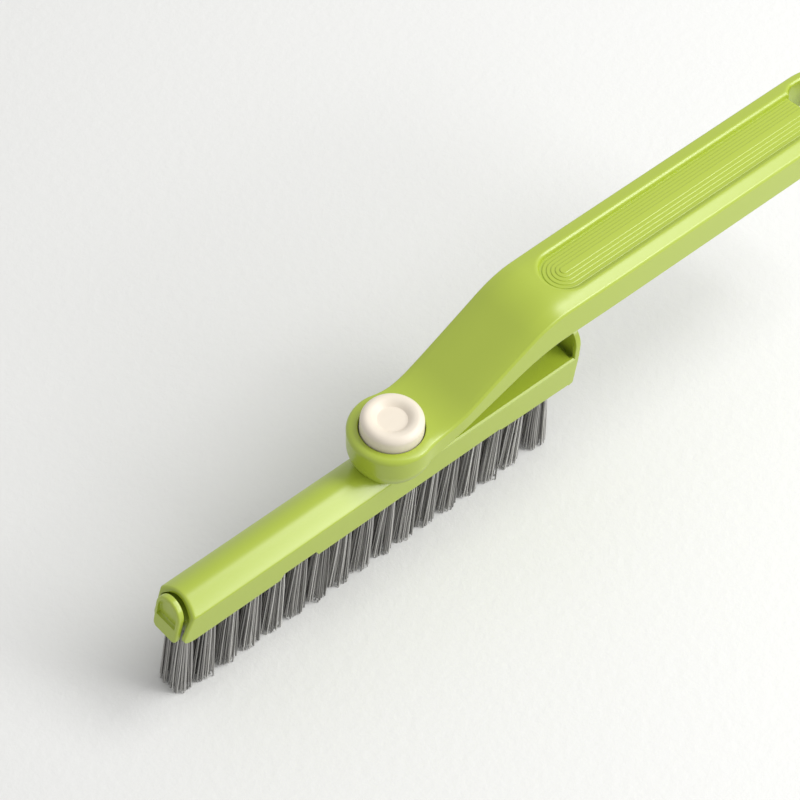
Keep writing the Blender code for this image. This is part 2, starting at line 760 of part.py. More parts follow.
def make_head():
    head = head_channel()
    boolean(head, notch_cutter(), solver="MANIFOLD")
    boolean(head, corner_cutter(), solver="MANIFOLD")
    boolean(head, rail_bodies(), "UNION", "MANIFOLD")
    boolean(head, end_wall(), "UNION", "MANIFOLD")
    boolean(head, lip_scoop(), solver="MANIFOLD")
    boolean(head, turret_body(), "UNION", "MANIFOLD")
    boolean(head, cup_cutter(), solver="MANIFOLD")
    boolean(head, groove_cutter(), solver="MANIFOLD")
    boolean(head, post_body(), "UNION", "MANIFOLD")
    boolean(head, key_body(), "UNION", "MANIFOLD")
    boolean(head, screw_hole(), solver="MANIFOLD")
    return head


def turned(name, profile, finish, origin, facets=BOSS_FACETS):
    """Turns a closed (radius, z) profile about the pivot axis; it runs down its outer side."""
    mesh = bpy.data.meshes.new(name)
    points = [(radius, 0, z - origin[2]) for radius, z in profile]
    count = len(points)
    is_ring = points[0][0] > 0
    mesh.from_pydata(points, [(k, (k + 1) % count) for k in range(count if is_ring else count - 1)], [])
    mesh.materials.append(finish)
    made = bpy.data.objects.new(name, mesh)
    made.location = TO_WORLD @ Vector(origin)
    parts.objects.link(made)
    screw = made.modifiers.new("turn", "SCREW")
    screw.steps = screw.render_steps = facets
    screw.use_merge_vertices = True
    screw.merge_threshold = TURN_MERGE
    return made


def button_profile():
    """The cap: a dished top, a fat round rim, a straight side and a hollow inside."""
    rim_x = BUTTON_RADIUS - BUTTON_RIM_ROUND
    rim_z = BUTTON_TOP - BUTTON_RIM_ROUND
    rim = [(rim_x + x, rim_z + z) for x, z in arc(BUTTON_RIM_ROUND, BUTTON_RIM_DEG, 0, RIM_STEPS)]
    dish = BUTTON_TOP - BUTTON_DISH_DEPTH
    inner = BUTTON_RADIUS - BUTTON_WALL
    return (
        [(0, dish), (BUTTON_DISH_RADIUS, dish)] + rim
        + [(BUTTON_RADIUS, BUTTON_FOOT), (inner, BUTTON_FOOT)]
        + [(inner, BUTTON_CEILING - BUTTON_WALL), (inner - BUTTON_WALL, BUTTON_CEILING), (0, BUTTON_CEILING)]
    )


def legs_body():
    """Three legs under the cap, each with a foot that points outwards into the notches."""
    bm = bmesh.new()
    half, reach = LEG_WIDTH / 2, CUP_RADIUS - FOOT_CLEARANCE - GAP
    for turn in leg_turns():
        outline = [
            (LEG_INNER, BUTTON_FOOT + BUTTON_WALL), (LEG_INNER, FOOT_LOW), (reach, FOOT_LOW),
            (reach, FOOT_TOP), (LEG_OUTER, FOOT_TOP), (LEG_OUTER, BUTTON_FOOT + BUTTON_WALL),
        ]
        about = Matrix.Rotation(turn, 3, "Z")
        rings = [[about @ Vector((x, y, z)) for x, z in outline] for y in (-half, half)]
        piece = bmesh.new()
        skin(piece, rings)
        bmesh.ops.recalc_face_normals(piece, faces=piece.faces)
        scratch = bpy.data.meshes.new("leg")
        piece.to_mesh(scratch)
        piece.free()
        bm.from_mesh(scratch)
        bpy.data.meshes.remove(scratch)
    return place_cutter(bm, "legs_body")


def make_button():
    button = turned("lock_button", button_profile(), cream_plastic, (0, 0, BUTTON_FOOT))
    boolean(button, legs_body(), "UNION", "MANIFOLD")
    return button


def make_hardware():
    washer = [
        (SCREW_RADIUS + GAP, WASHER_TOP), (WASHER_RADIUS, WASHER_TOP),
        (WASHER_RADIUS, WASHER_FOOT), (SCREW_RADIUS + GAP, WASHER_FOOT),
    ]
    turned("pivot_washer", washer, steel, (0, 0, WASHER_FOOT), SMALL_FACETS * 2)
    seat = WASHER_TOP + GAP
    top = seat + SCREW_HEAD_HEIGHT
    shoulder = (seat + top) / 2
    screw_profile = [
        (0, top), (SCREW_HEAD_RADIUS * SCREW_CROWN_SHARE, top), (SCREW_HEAD_RADIUS, shoulder),
        (SCREW_HEAD_RADIUS, seat), (SCREW_RADIUS, seat), (SCREW_RADIUS, seat - SCREW_LENGTH),
        (0, seat - SCREW_LENGTH),
    ]
    screw = turned("pivot_screw", screw_profile, steel, (0, 0, seat), SMALL_FACETS)
    half, reach = SCREW_SLOT_WIDTH / 2, SCREW_HEAD_RADIUS * SCREW_CROSS_SHARE
    arm = [(reach, -half), (reach, half), (half, half)]
    cross = [(x * cos - y * sin, x * sin + y * cos) for cos, sin in QUARTER_TURNS for x, y in arm]
    bm = bmesh.new()
    prism(bm, cross, top - SCREW_SLOT_DEPTH, top + OVERRUN, "Z")
    boolean(screw, place_cutter(bm, "screw_cross_cutter"))


def make_spring():
    low = WASHER_TOP + GAP + SPRING_WIRE
    high = BUTTON_CEILING - GAP - SPRING_WIRE
    curve = bpy.data.curves.new("button_spring", "CURVE")
    curve.dimensions = "3D"
    curve.bevel_depth = SPRING_WIRE
    curve.bevel_resolution = 1
    curve.use_fill_caps = True
    count = SPRING_TURNS * SPRING_STEPS
    spline = curve.splines.new("POLY")
    spline.points.add(count)
    for k, point in enumerate(spline.points):
        turn = math.tau * k / SPRING_STEPS
        height = (high - low) * k / count
        point.co = (SPRING_RADIUS * math.cos(turn), SPRING_RADIUS * math.sin(turn), height, 1)
    curve.materials.append(steel)
    made = bpy.data.objects.new("button_spring", curve)
    made.location = TO_WORLD @ Vector((0, 0, low))
    parts.objects.link(made)
    return made


def carrier_half_width(z):
    return outer_half_width(z) - HEAD_WALL - GAP


def tab_outline(grow):
    """The tab's outline as (y, z): a round arch above, sides that close in, a soft foot."""
    half, foot_half = TAB_WIDTH / 2 + grow, TAB_FOOT_WIDTH / 2 + grow
    spring = RIDGE_Z + TAB_RISE - TAB_WIDTH / 2
    foot = RIDGE_Z - TAB_DROP - grow
    top = [(y, spring + z) for y, z in arc(half, 0, 180, SMALL_FACETS)]
    toe = foot_half - TAB_FOOT_ROUND
    right = [(toe + y, foot + TAB_FOOT_ROUND + z) for y, z in arc(TAB_FOOT_ROUND, -90, 0, FOOT_ROUND_STEPS)]
    return right + top + [(-y, z) for y, z in reversed(right)]


def station_xs():
    return [FIRST_X + (LAST_X - FIRST_X) * k / (STATIONS - 1) for k in range(STATIONS)]


def tab_body():
    bm = bmesh.new()
    levels = (TAB_FACE_X, -TAB_BEVEL), (TAB_FACE_X + TAB_BEVEL, 0.0), (TAB_FACE_X + TAB_THICKNESS, 0.0)
    skin(bm, [[(tab_leaned(x, z), y, z) for y, z in tab_outline(grow)] for x, grow in levels])
    return place_cutter(bm, "tab_body")


def tab_neck():
    """The neck between the tab and the bar."""
    bm = bmesh.new()
    rings = []
    for z in (CARRIER_FOOT + GAP, CARRIER_TOP - GAP):
        left, half = tab_leaned(TAB_FACE_X + TAB_THICKNESS / 2, z), TAB_NECK_WIDTH / 2
        rings.append([(left, -half, z), (BAR_X + GAP, -half, z), (BAR_X + GAP, half, z), (left, half, z)])
    skin(bm, rings)
    return place_cutter(bm, "tab_neck")


def tab_panel_cutter():
    """The finger recess in the tab's face, down to the ledge."""
    ledge = RIDGE_Z - TAB_LEDGE_DROP
    ring = [(y, z) for y, z in tab_outline(-TAB_PANEL_RIM) if z > ledge]
    side = ring[0][0]
    ring = [(side, ledge)] + ring + [(-side, ledge)]
    planes = TAB_FACE_X - OVERRUN, TAB_FACE_X + TAB_PANEL_DEPTH
    bm = bmesh.new()
    skin(bm, [[(tab_leaned(x, z), y, z) for y, z in ring] for x in planes])
    return place_cutter(bm, "tab_panel_cutter")


def tuft_places():
    return [(x, side * ROW_SPACING / 2) for x in station_xs() for side in (-1, 1)]


def tuft_holes():
    bm = bmesh.new()
    deep = CARRIER_FOOT + TUFT_SET_DEPTH + GAP * 2 + ANCHOR_HEIGHT
    for place_xy in tuft_places():
        cylinder(bm, TUFT_RADIUS + GAP, CARRIER_FOOT - OVERRUN, deep, place_xy, facets=TUFT_FACETS)
    return place_cutter(bm, "tuft_holes")


def anchor_bars():
    """The staple over each tuft's root, which bites into the carrier on both sides."""
    bm = bmesh.new()
    low, half = CARRIER_FOOT + TUFT_SET_DEPTH + GAP, TUFT_RADIUS + GAP + ANCHOR_BITE
    for x, y in tuft_places():
        near, far = (x - half, y - ANCHOR_THICKNESS / 2), (x + half, y + ANCHOR_THICKNESS / 2)
        block(bm, (*near, low), (*far, low + ANCHOR_HEIGHT))
    return place_cutter(bm, "anchor_bars")


def make_carrier():
    """The dovetail bar that holds the tufts, with the pull tab on its left end."""
    wide, narrow = carrier_half_width(CARRIER_TOP), carrier_half_width(CARRIER_FOOT)
    section = [(wide, CARRIER_TOP), (-wide, CARRIER_TOP), (-narrow, CARRIER_FOOT), (narrow, CARRIER_FOOT)]
    bm = bmesh.new()
    skin(bm, [[(x, y, z) for y, z in section] for x in (BAR_X, WALL_X - GAP)])
    carrier = place(bm, "bristle_carrier", green_plastic)
    boolean(carrier, tab_neck(), "UNION")
    boolean(carrier, tab_body(), "UNION")
    boolean(carrier, tab_panel_cutter())
    boolean(carrier, tuft_holes())
    boolean(carrier, anchor_bars(), "UNION")
    return carrier


def make_tuft(name, x, side, lean):
    """One tuft: a round root in its hole that opens out to a wide oval tip on the floor."""
    top, foot = CARRIER_FOOT + TUFT_SET_DEPTH, 0.0
    rings = []
    for share in TUFT_LEVEL_SHARES:
        z = top + (foot - top) * share
        below = max(0.0, (CARRIER_FOOT - z) / CARRIER_FOOT)
        reach = TUFT_RADIUS + (TUFT_TIP_REACH - TUFT_RADIUS) * below
        radius = TUFT_RADIUS + (TUFT_TIP_RADIUS - TUFT_RADIUS) * below
        x_middle = x + lean * below**SPLAY_POWER
        y_middle = side * (ROW_SPACING / 2 + TUFT_TIP_SPREAD * below)
        circle = arc(1.0, 0, 360, TUFT_FACETS)[:-1]
        rings.append([(x_middle + reach * a, y_middle + radius * b, z) for a, b in circle])
    bm = bmesh.new()
    skin(bm, rings)
    return place(bm, name, grey_bristle, origin=(x, side * ROW_SPACING / 2, CARRIER_FOOT))


def make_tufts():
    xs = station_xs()
    for number, x in enumerate(xs, start=1):
        lean = -TUFT_END_SPLAY if number == 1 else 0.0
        for side, row in ((-1, "front"), (1, "back")):
            make_tuft(f"tuft_{row}_{number:02d}", x, side, lean)


make_head()
make_handle()
make_button()
make_hardware()
make_spring()
make_carrier()
make_tufts()
bpy.context.view_layer.update()
print("crevice brush:", len(parts.objects), "parts")
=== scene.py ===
import json
import math

import bmesh
import bpy
import numpy as np
from mathutils import Matrix, Vector
from mathutils.geometry import delaunay_2d_cdt


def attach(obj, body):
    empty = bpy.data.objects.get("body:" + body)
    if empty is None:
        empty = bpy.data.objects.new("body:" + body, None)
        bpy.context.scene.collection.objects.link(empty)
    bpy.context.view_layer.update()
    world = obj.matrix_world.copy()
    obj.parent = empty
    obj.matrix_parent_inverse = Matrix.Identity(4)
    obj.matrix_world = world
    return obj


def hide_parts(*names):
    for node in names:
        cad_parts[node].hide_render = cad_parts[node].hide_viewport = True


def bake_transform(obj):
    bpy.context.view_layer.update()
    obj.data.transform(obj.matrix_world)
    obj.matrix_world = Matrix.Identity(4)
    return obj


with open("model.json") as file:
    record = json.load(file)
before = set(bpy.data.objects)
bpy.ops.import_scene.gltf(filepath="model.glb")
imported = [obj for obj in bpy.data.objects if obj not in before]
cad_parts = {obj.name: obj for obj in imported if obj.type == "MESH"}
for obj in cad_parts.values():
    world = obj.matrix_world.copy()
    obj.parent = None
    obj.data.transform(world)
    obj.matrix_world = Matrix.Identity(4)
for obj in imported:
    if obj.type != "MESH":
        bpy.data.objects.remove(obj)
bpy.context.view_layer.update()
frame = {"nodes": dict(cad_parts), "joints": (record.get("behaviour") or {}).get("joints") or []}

mm = 0.001
joints = {joint["name"]: joint for joint in frame["joints"]}
pivotX = joints["handle_swivel"]["pos_m"][0]  # the swivel's axis, about which every size below is given
print("loaded", len(frame["nodes"]), "CAD nodes")


# Port lets a node tree be written as a sum of sockets, and Tree adds its nodes.

class Port:
    def __init__(self, tree, socket):
        self.tree, self.socket = tree, socket

    def __add__(self, other):
        return self.tree.maths("ADD", self, other)

    def __radd__(self, other):
        return self.tree.maths("ADD", other, self)

    def __sub__(self, other):
        return self.tree.maths("SUBTRACT", self, other)

    def __rsub__(self, other):
        return self.tree.maths("SUBTRACT", other, self)

    def __mul__(self, other):
        return self.tree.maths("MULTIPLY", self, other)

    def __truediv__(self, other):
        return self.tree.maths("DIVIDE", self, other)

    def __pow__(self, other):
        return self.tree.maths("POWER", self, other)


class Tree:
    def __init__(self, nodeTree):
        self.nodeTree = nodeTree

    def join(self, value, socket):
        if isinstance(value, Port):
            self.nodeTree.links.new(value.socket, socket)
        else:
            socket.default_value = value

    def fill(self, node, values):
        for key, value in values.items():
            self.join(value, node.inputs[key])

    def add(self, kind, settings=None, values=None, out=0):
        node = self.nodeTree.nodes.new(kind)
        for key, value in (settings or {}).items():
            setattr(node, key, value)
        self.fill(node, values or {})
        return Port(self, node.outputs[out])

    def maths(self, operation, *values):
        return self.add("ShaderNodeMath", {"operation": operation}, dict(enumerate(values)))

    def noise(self, vector, scale, detail=3.0, roughness=0.5):
        values = {"Vector": vector, "Scale": scale, "Detail": detail, "Roughness": roughness}
        return self.add("ShaderNodeTexNoise", {}, values)

    def mix(self, factor, first, second):
        return self.add("ShaderNodeMix", {"data_type": "RGBA"}, {0: factor, 6: first, 7: second}, out=2)

    def stretch(self, vector, scale):
        return self.add("ShaderNodeMapping", {}, {"Vector": vector, "Scale": scale})

    def bump(self, shader, height, strength, distance):
        values = {"Strength": strength, "Distance": distance, "Height": height}
        self.join(self.add("ShaderNodeBump", {}, values), shader.inputs["Normal"])


def shaderOf(name):
    made = bpy.data.materials.new(name)
    made.use_nodes = True
    tree = Tree(made.node_tree)
    place = tree.add("ShaderNodeTexCoord", out="Object")
    return made, tree, made.node_tree.nodes["Principled BSDF"], place


greenPlastic = {
    "color": (0.362, 0.452, 0.038, 1.0),
    "deepColor": (0.336, 0.428, 0.028, 1.0),
    "roughness": 0.30,
    "grain": 900.0,
    "grainDepth": 0.010 * mm,
    "flow": 18.0,
    "specular": 0.70,
}

creamPlastic = {
    "color": (0.750, 0.680, 0.575, 1.0),
    "deepColor": (0.705, 0.628, 0.520, 1.0),
    "roughness": 0.40,
    "grain": 1100.0,
    "grainDepth": 0.008 * mm,
    "flow": 40.0,
    "specular": 0.45,
}

nylon = {
    "darkColor": (0.120, 0.117, 0.110, 1.0),
    "paleColor": (0.640, 0.628, 0.600, 1.0),
    "roughness": 0.42,
    "bandScale": 900.0,
}

zincSteel = {
    "color": (0.62, 0.62, 0.60, 1.0),
    "darkColor": (0.42, 0.42, 0.41, 1.0),
    "roughness": 0.30,
    "grain": 900.0,
    "grainDepth": 0.01 * mm,
}


def mouldedPlastic(name, look):
    made, tree, shader, place = shaderOf(name)
    cloud = tree.noise(place, look["flow"], 3.0)
    streak = tree.noise(tree.stretch(place, (0.25, 1.0, 1.0)), look["flow"] * 9, 2.0)
    fine = tree.noise(place, look["grain"], 2.0, 0.6)
    wear = cloud * 0.6 + streak * 0.4
    tree.fill(shader, {"Base Color": tree.mix(wear, look["deepColor"], look["color"]),
                       "Roughness": look["roughness"] - 0.05 + wear * 0.06 + fine * 0.04,
                       "Specular IOR Level": look["specular"]})
    tree.bump(shader, fine * 0.7 + streak * 0.3, 1.0, look["grainDepth"])
    return made


def nylonFilament(name, look):
    made, tree, shader, place = shaderOf(name)
    shade = tree.add("ShaderNodeAttribute", {"attribute_name": "shade"}, out="Fac")
    band = tree.noise(tree.stretch(place, (1.0, 1.0, 0.12)), look["bandScale"], 2.0)
    tone = shade * 0.8 + band * 0.2
    tree.fill(shader, {"Base Color": tree.mix(tone, look["darkColor"], look["paleColor"]),
                       "Roughness": look["roughness"] + band * 0.1})
    return made


def platedSteel(name, look):
    made, tree, shader, place = shaderOf(name)
    spangle = tree.noise(place, look["grain"], 4.0)
    tree.fill(shader, {"Base Color": tree.mix(spangle, look["darkColor"], look["color"]),
                       "Roughness": look["roughness"] - 0.05 + spangle * 0.15, "Metallic": 1.0})
    tree.bump(shader, spangle, 0.6, look["grainDepth"])
    return made


green = mouldedPlastic("satinGreen", greenPlastic)
cream = mouldedPlastic("satinCream", creamPlastic)
bristleGrey = nylonFilament("greyNylon", nylon)
steel = platedSteel("zincSteel", zincSteel)
for node in ("pivot_washer", "pivot_screw"):
    frame["nodes"][node].material_slots[0].material = steel
print("finishes ready")


def linked(name, data):
    made = bpy.data.objects.new(name, data)
    bpy.context.scene.collection.objects.link(made)
    return made


def meshOf(bm, name):
    mesh = bpy.data.meshes.new(name)
    bm.to_mesh(mesh)
    bm.free()
    return mesh


# Every shape below is drawn in millimetres about the swivel's axis.
def finishedPiece(name, bm, finish, body, nodes, sharpDeg=32):
    bmesh.ops.remove_doubles(bm, verts=bm.verts, dist=0.002)
    bmesh.ops.dissolve_degenerate(bm, edges=bm.edges, dist=0.001)
    bmesh.ops.recalc_face_normals(bm, faces=bm.faces)
    bm.transform(Matrix.Translation((pivotX, 0, 0)) @ Matrix.Scale(mm, 4))
    mesh = meshOf(bm, name)
    mesh.materials.append(finish)
    mesh.shade_smooth()
    mesh.set_sharp_from_angle(angle=math.radians(sharpDeg))
    piece = linked(name, mesh)
    weighted = piece.modifiers.new("evenNormals", "WEIGHTED_NORMAL")
    weighted.mode = "FACE_AREA_WITH_ANGLE"
    weighted.keep_sharp = True
    if body:  # the spring is joined to no body
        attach(piece, body)
    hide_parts(*nodes)
    print(name, len(mesh.polygons), "faces")
    return piece


def arc(radius, startDeg, endDeg, steps):
    turns = [math.radians(startDeg + (endDeg - startDeg) * k / steps) for k in range(steps + 1)]
    return [(radius * math.cos(turn), radius * math.sin(turn)) for turn in turns]


def bothSides(half):
    return half + [(x, -y) for x, y in reversed(half[1:-1])]


def clamped(share):
    return min(max(share, 0.0), 1.0)


def mixed(low, high, share):
    return low + (high - low) * share


def rounded(radius, degrees):
    turns = [math.radians(degree) for degree in degrees]
    return [(radius * (1 - math.sin(turn)), radius * (1 - math.cos(turn))) for turn in turns]


def strip(bm, upper, lower):
    for k in range(len(upper)):
        after = (k + 1) % len(upper)
        bm.faces.new((upper[k], upper[after], lower[after], lower[k]))


def loft(bm, rings):
    rows = [[bm.verts.new(point) for point in ring] for ring in rings]
    for upper, lower in zip(rows, rows[1:]):
        strip(bm, upper, lower)
    return rows


def cleaned(bm):
    bmesh.ops.remove_doubles(bm, verts=bm.verts, dist=0.0005)
    bmesh.ops.recalc_face_normals(bm, faces=bm.faces)
    return bm


def cappedLoft(rings):
    bm = bmesh.new()
    rows = loft(bm, rings)
    caps = [bm.faces.new(rows[0]), bm.faces.new(rows[-1])]
    bmesh.ops.triangulate(bm, faces=caps)
    return cleaned(bm)


def lathe(profile, facets):
    bm = bmesh.new()
    turns = [math.tau * k / facets for k in range(facets)]
    loft(bm, [[(radius * math.cos(turn), radius * math.sin(turn), z) for turn in turns] for radius, z in profile])
    return cleaned(bm)


def evaluatedMesh(source):
    return bpy.data.meshes.new_from_object(source.evaluated_get(bpy.context.evaluated_depsgraph_get()))


def combined(base, steps):
    body = linked("blank", meshOf(base, "blank"))
    tools = []
    for operation, bm in steps:
        tools.append(linked("tool", meshOf(bm, "tool")))
        cut = body.modifiers.new("cut", "BOOLEAN")
        cut.operation, cut.solver, cut.object = operation, "MANIFOLD", tools[-1]
    result = evaluatedMesh(body)
    bm = bmesh.new()
    bm.from_mesh(result)
    for scratch in [body] + tools:
        bpy.data.objects.remove(scratch)
    bpy.data.meshes.remove(result)
    return bm


# The handle is a plan drawing whose every point is lifted to the surface above and below it.

grip = {
    "bossTop": 56.25, "bossFoot": 48.25, "bossRadius": 13.99,
    "neckWidth": 25.8, "neckStart": 21.0, "leaveDeg": 75.0,
    "width": 26.9, "thickness": 15.0, "rise": 22.6, "reach": 182.6,
    "topRound": 2.0, "footRound": 0.8, "bossFootRound": 0.03, "sideDraft": 0.3,
    "crown": 1.0, "crownFlat": 0.0985,
    "crispFrom": -14.0, "crispTo": 3.0, "crispDeg": 40.0, "crispRound": 1.6, "crispDrop": 0.34,
    "crispRows": ((0.15, 0.27), (0.04, 0.31)),
    "topBend": (7.0, 22.0, 45.0, 59.5), "footBend": (9.0, 13.0, 42.0, 62.0),
    "panelStart": 61.7, "panelWidth": 16.0, "panelDepth": 1.3, "moat": 1.2, "lip": 1.3,
    "lipRows": ((1.0, 0.0), (0.8, -0.02), (0.6, -0.07), (0.4, -0.16), (0.2, -0.32), (0.06, -0.52)),
    "wallRows": ((-0.08, -0.8), (-0.22, -1.1), (-0.42, -9.0)), "sheetRows": (0.8, 0.3),
    "riserRows": ((0.0, 0.0), (0.14, 0.5), (0.3, 0.78), (0.6, 0.95), (1.0, 1.0)),
    "terraces": 5, "terraceStep": 0.25, "riserWidth": 0.36, "endFullness": 2.8,
    "holeStart": 177.4, "holeCorner": 4.2, "holeRim": 3.6, "holeRound": 1.0,
    "wellRadius": 10.35, "wellLip": 0.45, "wellStep": 0.05, "webTop": 49.85,
    "boreRadius": 4.3, "keySlotRadius": 5.5, "keySlotDeg": 105.74,
    "legInner": 7.75, "legOuter": 10.05, "legSlotWidth": 4.6,
    "pocketWall": 2.2, "pocketStart": 24.0, "pocketDraft": 0.5, "ribThickness": 1.6, "ribBays": 7,
    "pitch": 1.3, "coarsePitch": 1.6, "panelClear": 1.2, "holeClear": 2.5, "rimClear": 1.6, "wellClear": 1.0,
}


def eased(x, start, full, ease, end):
    whole = (full - start) / 2 + (ease - full) + (end - ease) / 2
    if x <= start:
        return 0.0
    if x <= full:
        return (x - start) ** 2 / (2 * (full - start)) / whole
    if x <= ease:
        return ((full - start) / 2 + x - full) / whole
    return 1 - max(end - x, 0.0) ** 2 / (2 * (end - ease)) / whole


gripTop = grip["bossTop"] + grip["rise"]
gripFoot = gripTop - grip["thickness"]
halfGrip, halfNeck = grip["width"] / 2, grip["neckWidth"] / 2


def handleTop(x):
    return grip["bossTop"] + grip["rise"] * eased(x, *grip["topBend"])


def handleFoot(x):
    return mixed(grip["bossFoot"], gripFoot, eased(x, *grip["footBend"]))


def crownAt(x):
    return grip["crown"] * eased(x, *grip["topBend"])


def sideAt(x):
    leave = math.radians(grip["leaveDeg"])
    startX, startY = grip["bossRadius"] * math.cos(leave), grip["bossRadius"] * math.sin(leave)
    run = grip["neckStart"] - startX
    t = clamped((x - startX) / run)
    neck = startY + (halfNeck - startY) * t * t * (3 - 2 * t) - run / math.tan(leave) * t * (1 - t) ** 2
    widen = eased(x, grip["neckStart"], grip["topBend"][2], grip["topBend"][3], grip["reach"] / 2)
    return neck + (halfGrip - halfNeck) * widen


def fullArc(radius, steps):
    bulge = 2 / grip["endFullness"]  # a little fuller than a round end
    return [(radius * max(x, 0.0) ** bulge, radius * max(y, 0.0) ** bulge) for x, y in arc(1.0, 90, 0, steps)]


def handleOutline():
    boss = arc(grip["bossRadius"], 180, grip["leaveDeg"], 34)
    start = boss[-1][0]
    count = int((grip["reach"] - start) / grip["pitch"])
    step = (grip["reach"] - start) / count
    sides = [(start + step * k, sideAt(start + step * k)) for k in range(1, count)]
    tip = [(grip["reach"] + x, y) for x, y in fullArc(halfGrip, 24)]
    return boss + sides + tip


def inset(half, distance):
    moved = []
    for k, (x, y) in enumerate(half):
        before, after = half[max(k - 1, 0)], half[min(k + 1, len(half) - 1)]
        along = Vector((after[0] - before[0], after[1] - before[1])).normalized()
        if k == 0:
            along = Vector((0, 1))
        if k == len(half) - 1:
            along = Vector((0, -1))
        moved.append((x + along.y * distance, max(y - along.x * distance, 0.0)))
    return moved


def stadium(start, end, radius):
    count = int((end - start) / grip["coarsePitch"])
    left = [(start + x, y) for x, y in arc(radius, 180, 90, 16)]
    straight = [(start + (end - start) * k / count, radius) for k in range(1, count)]
    right = [(end + x, y) for x, y in arc(radius, 90, 0, 8)]
    return bothSides(left + straight + right)


panelRadius = grip["panelWidth"] / 2
panelFrom, panelTo = grip["panelStart"] + panelRadius, grip["holeStart"] + grip["holeCorner"]
panelEdge = gripTop - grip["crown"]
panelFloor = panelEdge - grip["panelDepth"]
innerHalf = inset(handleOutline(), grip["topRound"])


def innerSide(x):
    return float(np.interp(x, [p[0] for p in innerHalf], [p[1] for p in innerHalf]))


def crownedTop(x, y):
    share = clamped(abs(y) / max(innerSide(x), 0.01))
    return handleTop(x) - crownAt(x) * (grip["crownFlat"] + (1 - grip["crownFlat"]) * share**4)


def panelProfile():
    rows = [(grip["lip"] * share, fall) for share, fall in grip["lipRows"]]
    rows += grip["wallRows"]
    tread = (panelRadius - grip["moat"]) / grip["terraces"]
    wide, high = grip["riserWidth"], grip["terraceStep"]
    for step in range(grip["terraces"]):  # a steep riser with a rounded edge, then a flat tread
        out = -grip["moat"] - tread * step
        low = panelFloor + high * step
        rows += [(out - wide * along, low + high * rise) for along, rise in grip["riserRows"]]
    return rows


panelRows = panelProfile()


def offPanel(x, y):
    return math.hypot(max(panelFrom - x, 0.0, x - panelTo), y) - panelRadius


# A row of the panel is either a fall from the crown, never below the floor, or a terrace's height.
def panelHeight(x, y):
    out, level = offPanel(x, y), crownedTop(x, y)
    if out >= panelRows[0][0]:
        return level
    heights = [height if height > 0.0 else max(level + height, panelFloor) for _, height in panelRows]
    return float(np.interp(-out, [-place for place, _ in panelRows], heights))


wellEdge = rounded(grip["wellLip"], (25, 50, 70, 90))


def wellHeight(radius, level):
    rows = [(-grip["wellStep"], grip["webTop"]), (0.0, level - grip["wellLip"])]
    rows += [(out, level - fall) for fall, out in wellEdge]
    outs, levels = zip(*rows)
    return float(np.interp(radius - grip["wellRadius"], outs, levels))


def topHeight(x, y):
    radius = math.hypot(x, y)
    if radius <= grip["wellRadius"] + grip["wellLip"]:
        return wellHeight(radius, crownedTop(x, y))
    return panelHeight(x, y) if x > grip["panelStart"] - 2 else crownedTop(x, y)


def circle(radius, facets=96):
    return arc(radius, 0, 360, facets)[:-1]


def holeRing(grow):
    corner, reach = grip["holeCorner"] + grow, halfGrip - grip["holeRim"] + grow
    middleX = grip["holeStart"] + grip["holeCorner"]
    left = [(middleX + x, reach - corner + y) for x, y in arc(corner, 180, 90, 10)]
    right = [(grip["reach"] + x, y) for x, y in fullArc(reach, 18)]
    return bothSides([(left[0][0], 0.0)] + left + right)


def boreRing():
    half = grip["keySlotDeg"]
    slot = arc(grip["keySlotRadius"], 180 - half, 180 + half, 40)
    return slot + arc(grip["boreRadius"], 180 + half, 540 - half, 14)


legTurns = [math.tau * k / 3 + math.pi / 3 for k in range(3)]


def slotRings():
    near, far, wide = grip["legInner"], grip["legOuter"], grip["legSlotWidth"] / 2
    corners = [(near, -wide), (far, -wide), (far, wide), (near, wide)]
    return [[(x * math.cos(turn) - y * math.sin(turn), x * math.sin(turn) + y * math.cos(turn)) for x, y in corners]
            for turn in legTurns]


def insideRing(ring, xs, ys):
    inside = np.zeros(len(xs), bool)
    for (ax, ay), (bx, by) in zip(ring, ring[1:] + ring[:1]):
        crosses = (ay > ys) != (by > ys)
        with np.errstate(divide="ignore", invalid="ignore"):
            inside ^= crosses & (xs < (bx - ax) * (ys - ay) / (by - ay) + ax)
    return inside


def liftedSheet(bm, outer, holes, lines, filling, height):
    points, edges = [], []
    for ring in [outer] + holes + lines:
        start = len(points)
        points += ring
        edges += [(start + k, start + (k + 1) % len(ring)) for k in range(len(ring))]
    points += filling
    flat, _, faces, *_ = delaunay_2d_cdt([Vector(point) for point in points], edges, [], 0, 0.0005)
    xs = np.array([sum(flat[k].x for k in face) / 3 for face in faces])
    ys = np.array([sum(flat[k].y for k in face) / 3 for face in faces])
    keep = insideRing(outer, xs, ys)
    for hole in holes:
        keep &= ~insideRing(hole, xs, ys)
    verts = [bm.verts.new((point.x, point.y, height(point.x, point.y))) for point in flat]
    for face, kept in zip(faces, keep):
        if kept:
            bm.faces.new([verts[k] for k in face])
    for vert in [vert for vert in verts if not vert.link_faces]:
        bm.verts.remove(vert)


def openLoop(bm, near):
    loops, todo = [], {edge for edge in bm.edges if len(edge.link_faces) == 1}
    while todo:
        edge = todo.pop()
        loop = list(edge.verts)
        while True:
            ways = [other for other in loop[-1].link_edges if other in todo]
            if not ways:
                break
            todo.remove(ways[0])
            loop.append(ways[0].other_vert(loop[-1]))
        loops.append(loop[:-1] if loop[0] is loop[-1] else loop)
    return min(loops, key=lambda found: min((vert.co.xy - Vector(near)).length for vert in found))


def bridge(bm, upper, lowerPoints):
    lower = [bm.verts.new(point) for point in lowerPoints]
    strip(bm, upper, lower)
    return lower


def pocketBays():
    start, rib = grip["pocketStart"], grip["ribThickness"]
    reach = grip["holeStart"] - grip["pocketWall"] - grip["holeRound"]
    step = (reach - start + rib) / grip["ribBays"]
    return [(start + step * k, start + step * (k + 1) - rib) for k in range(grip["ribBays"])]


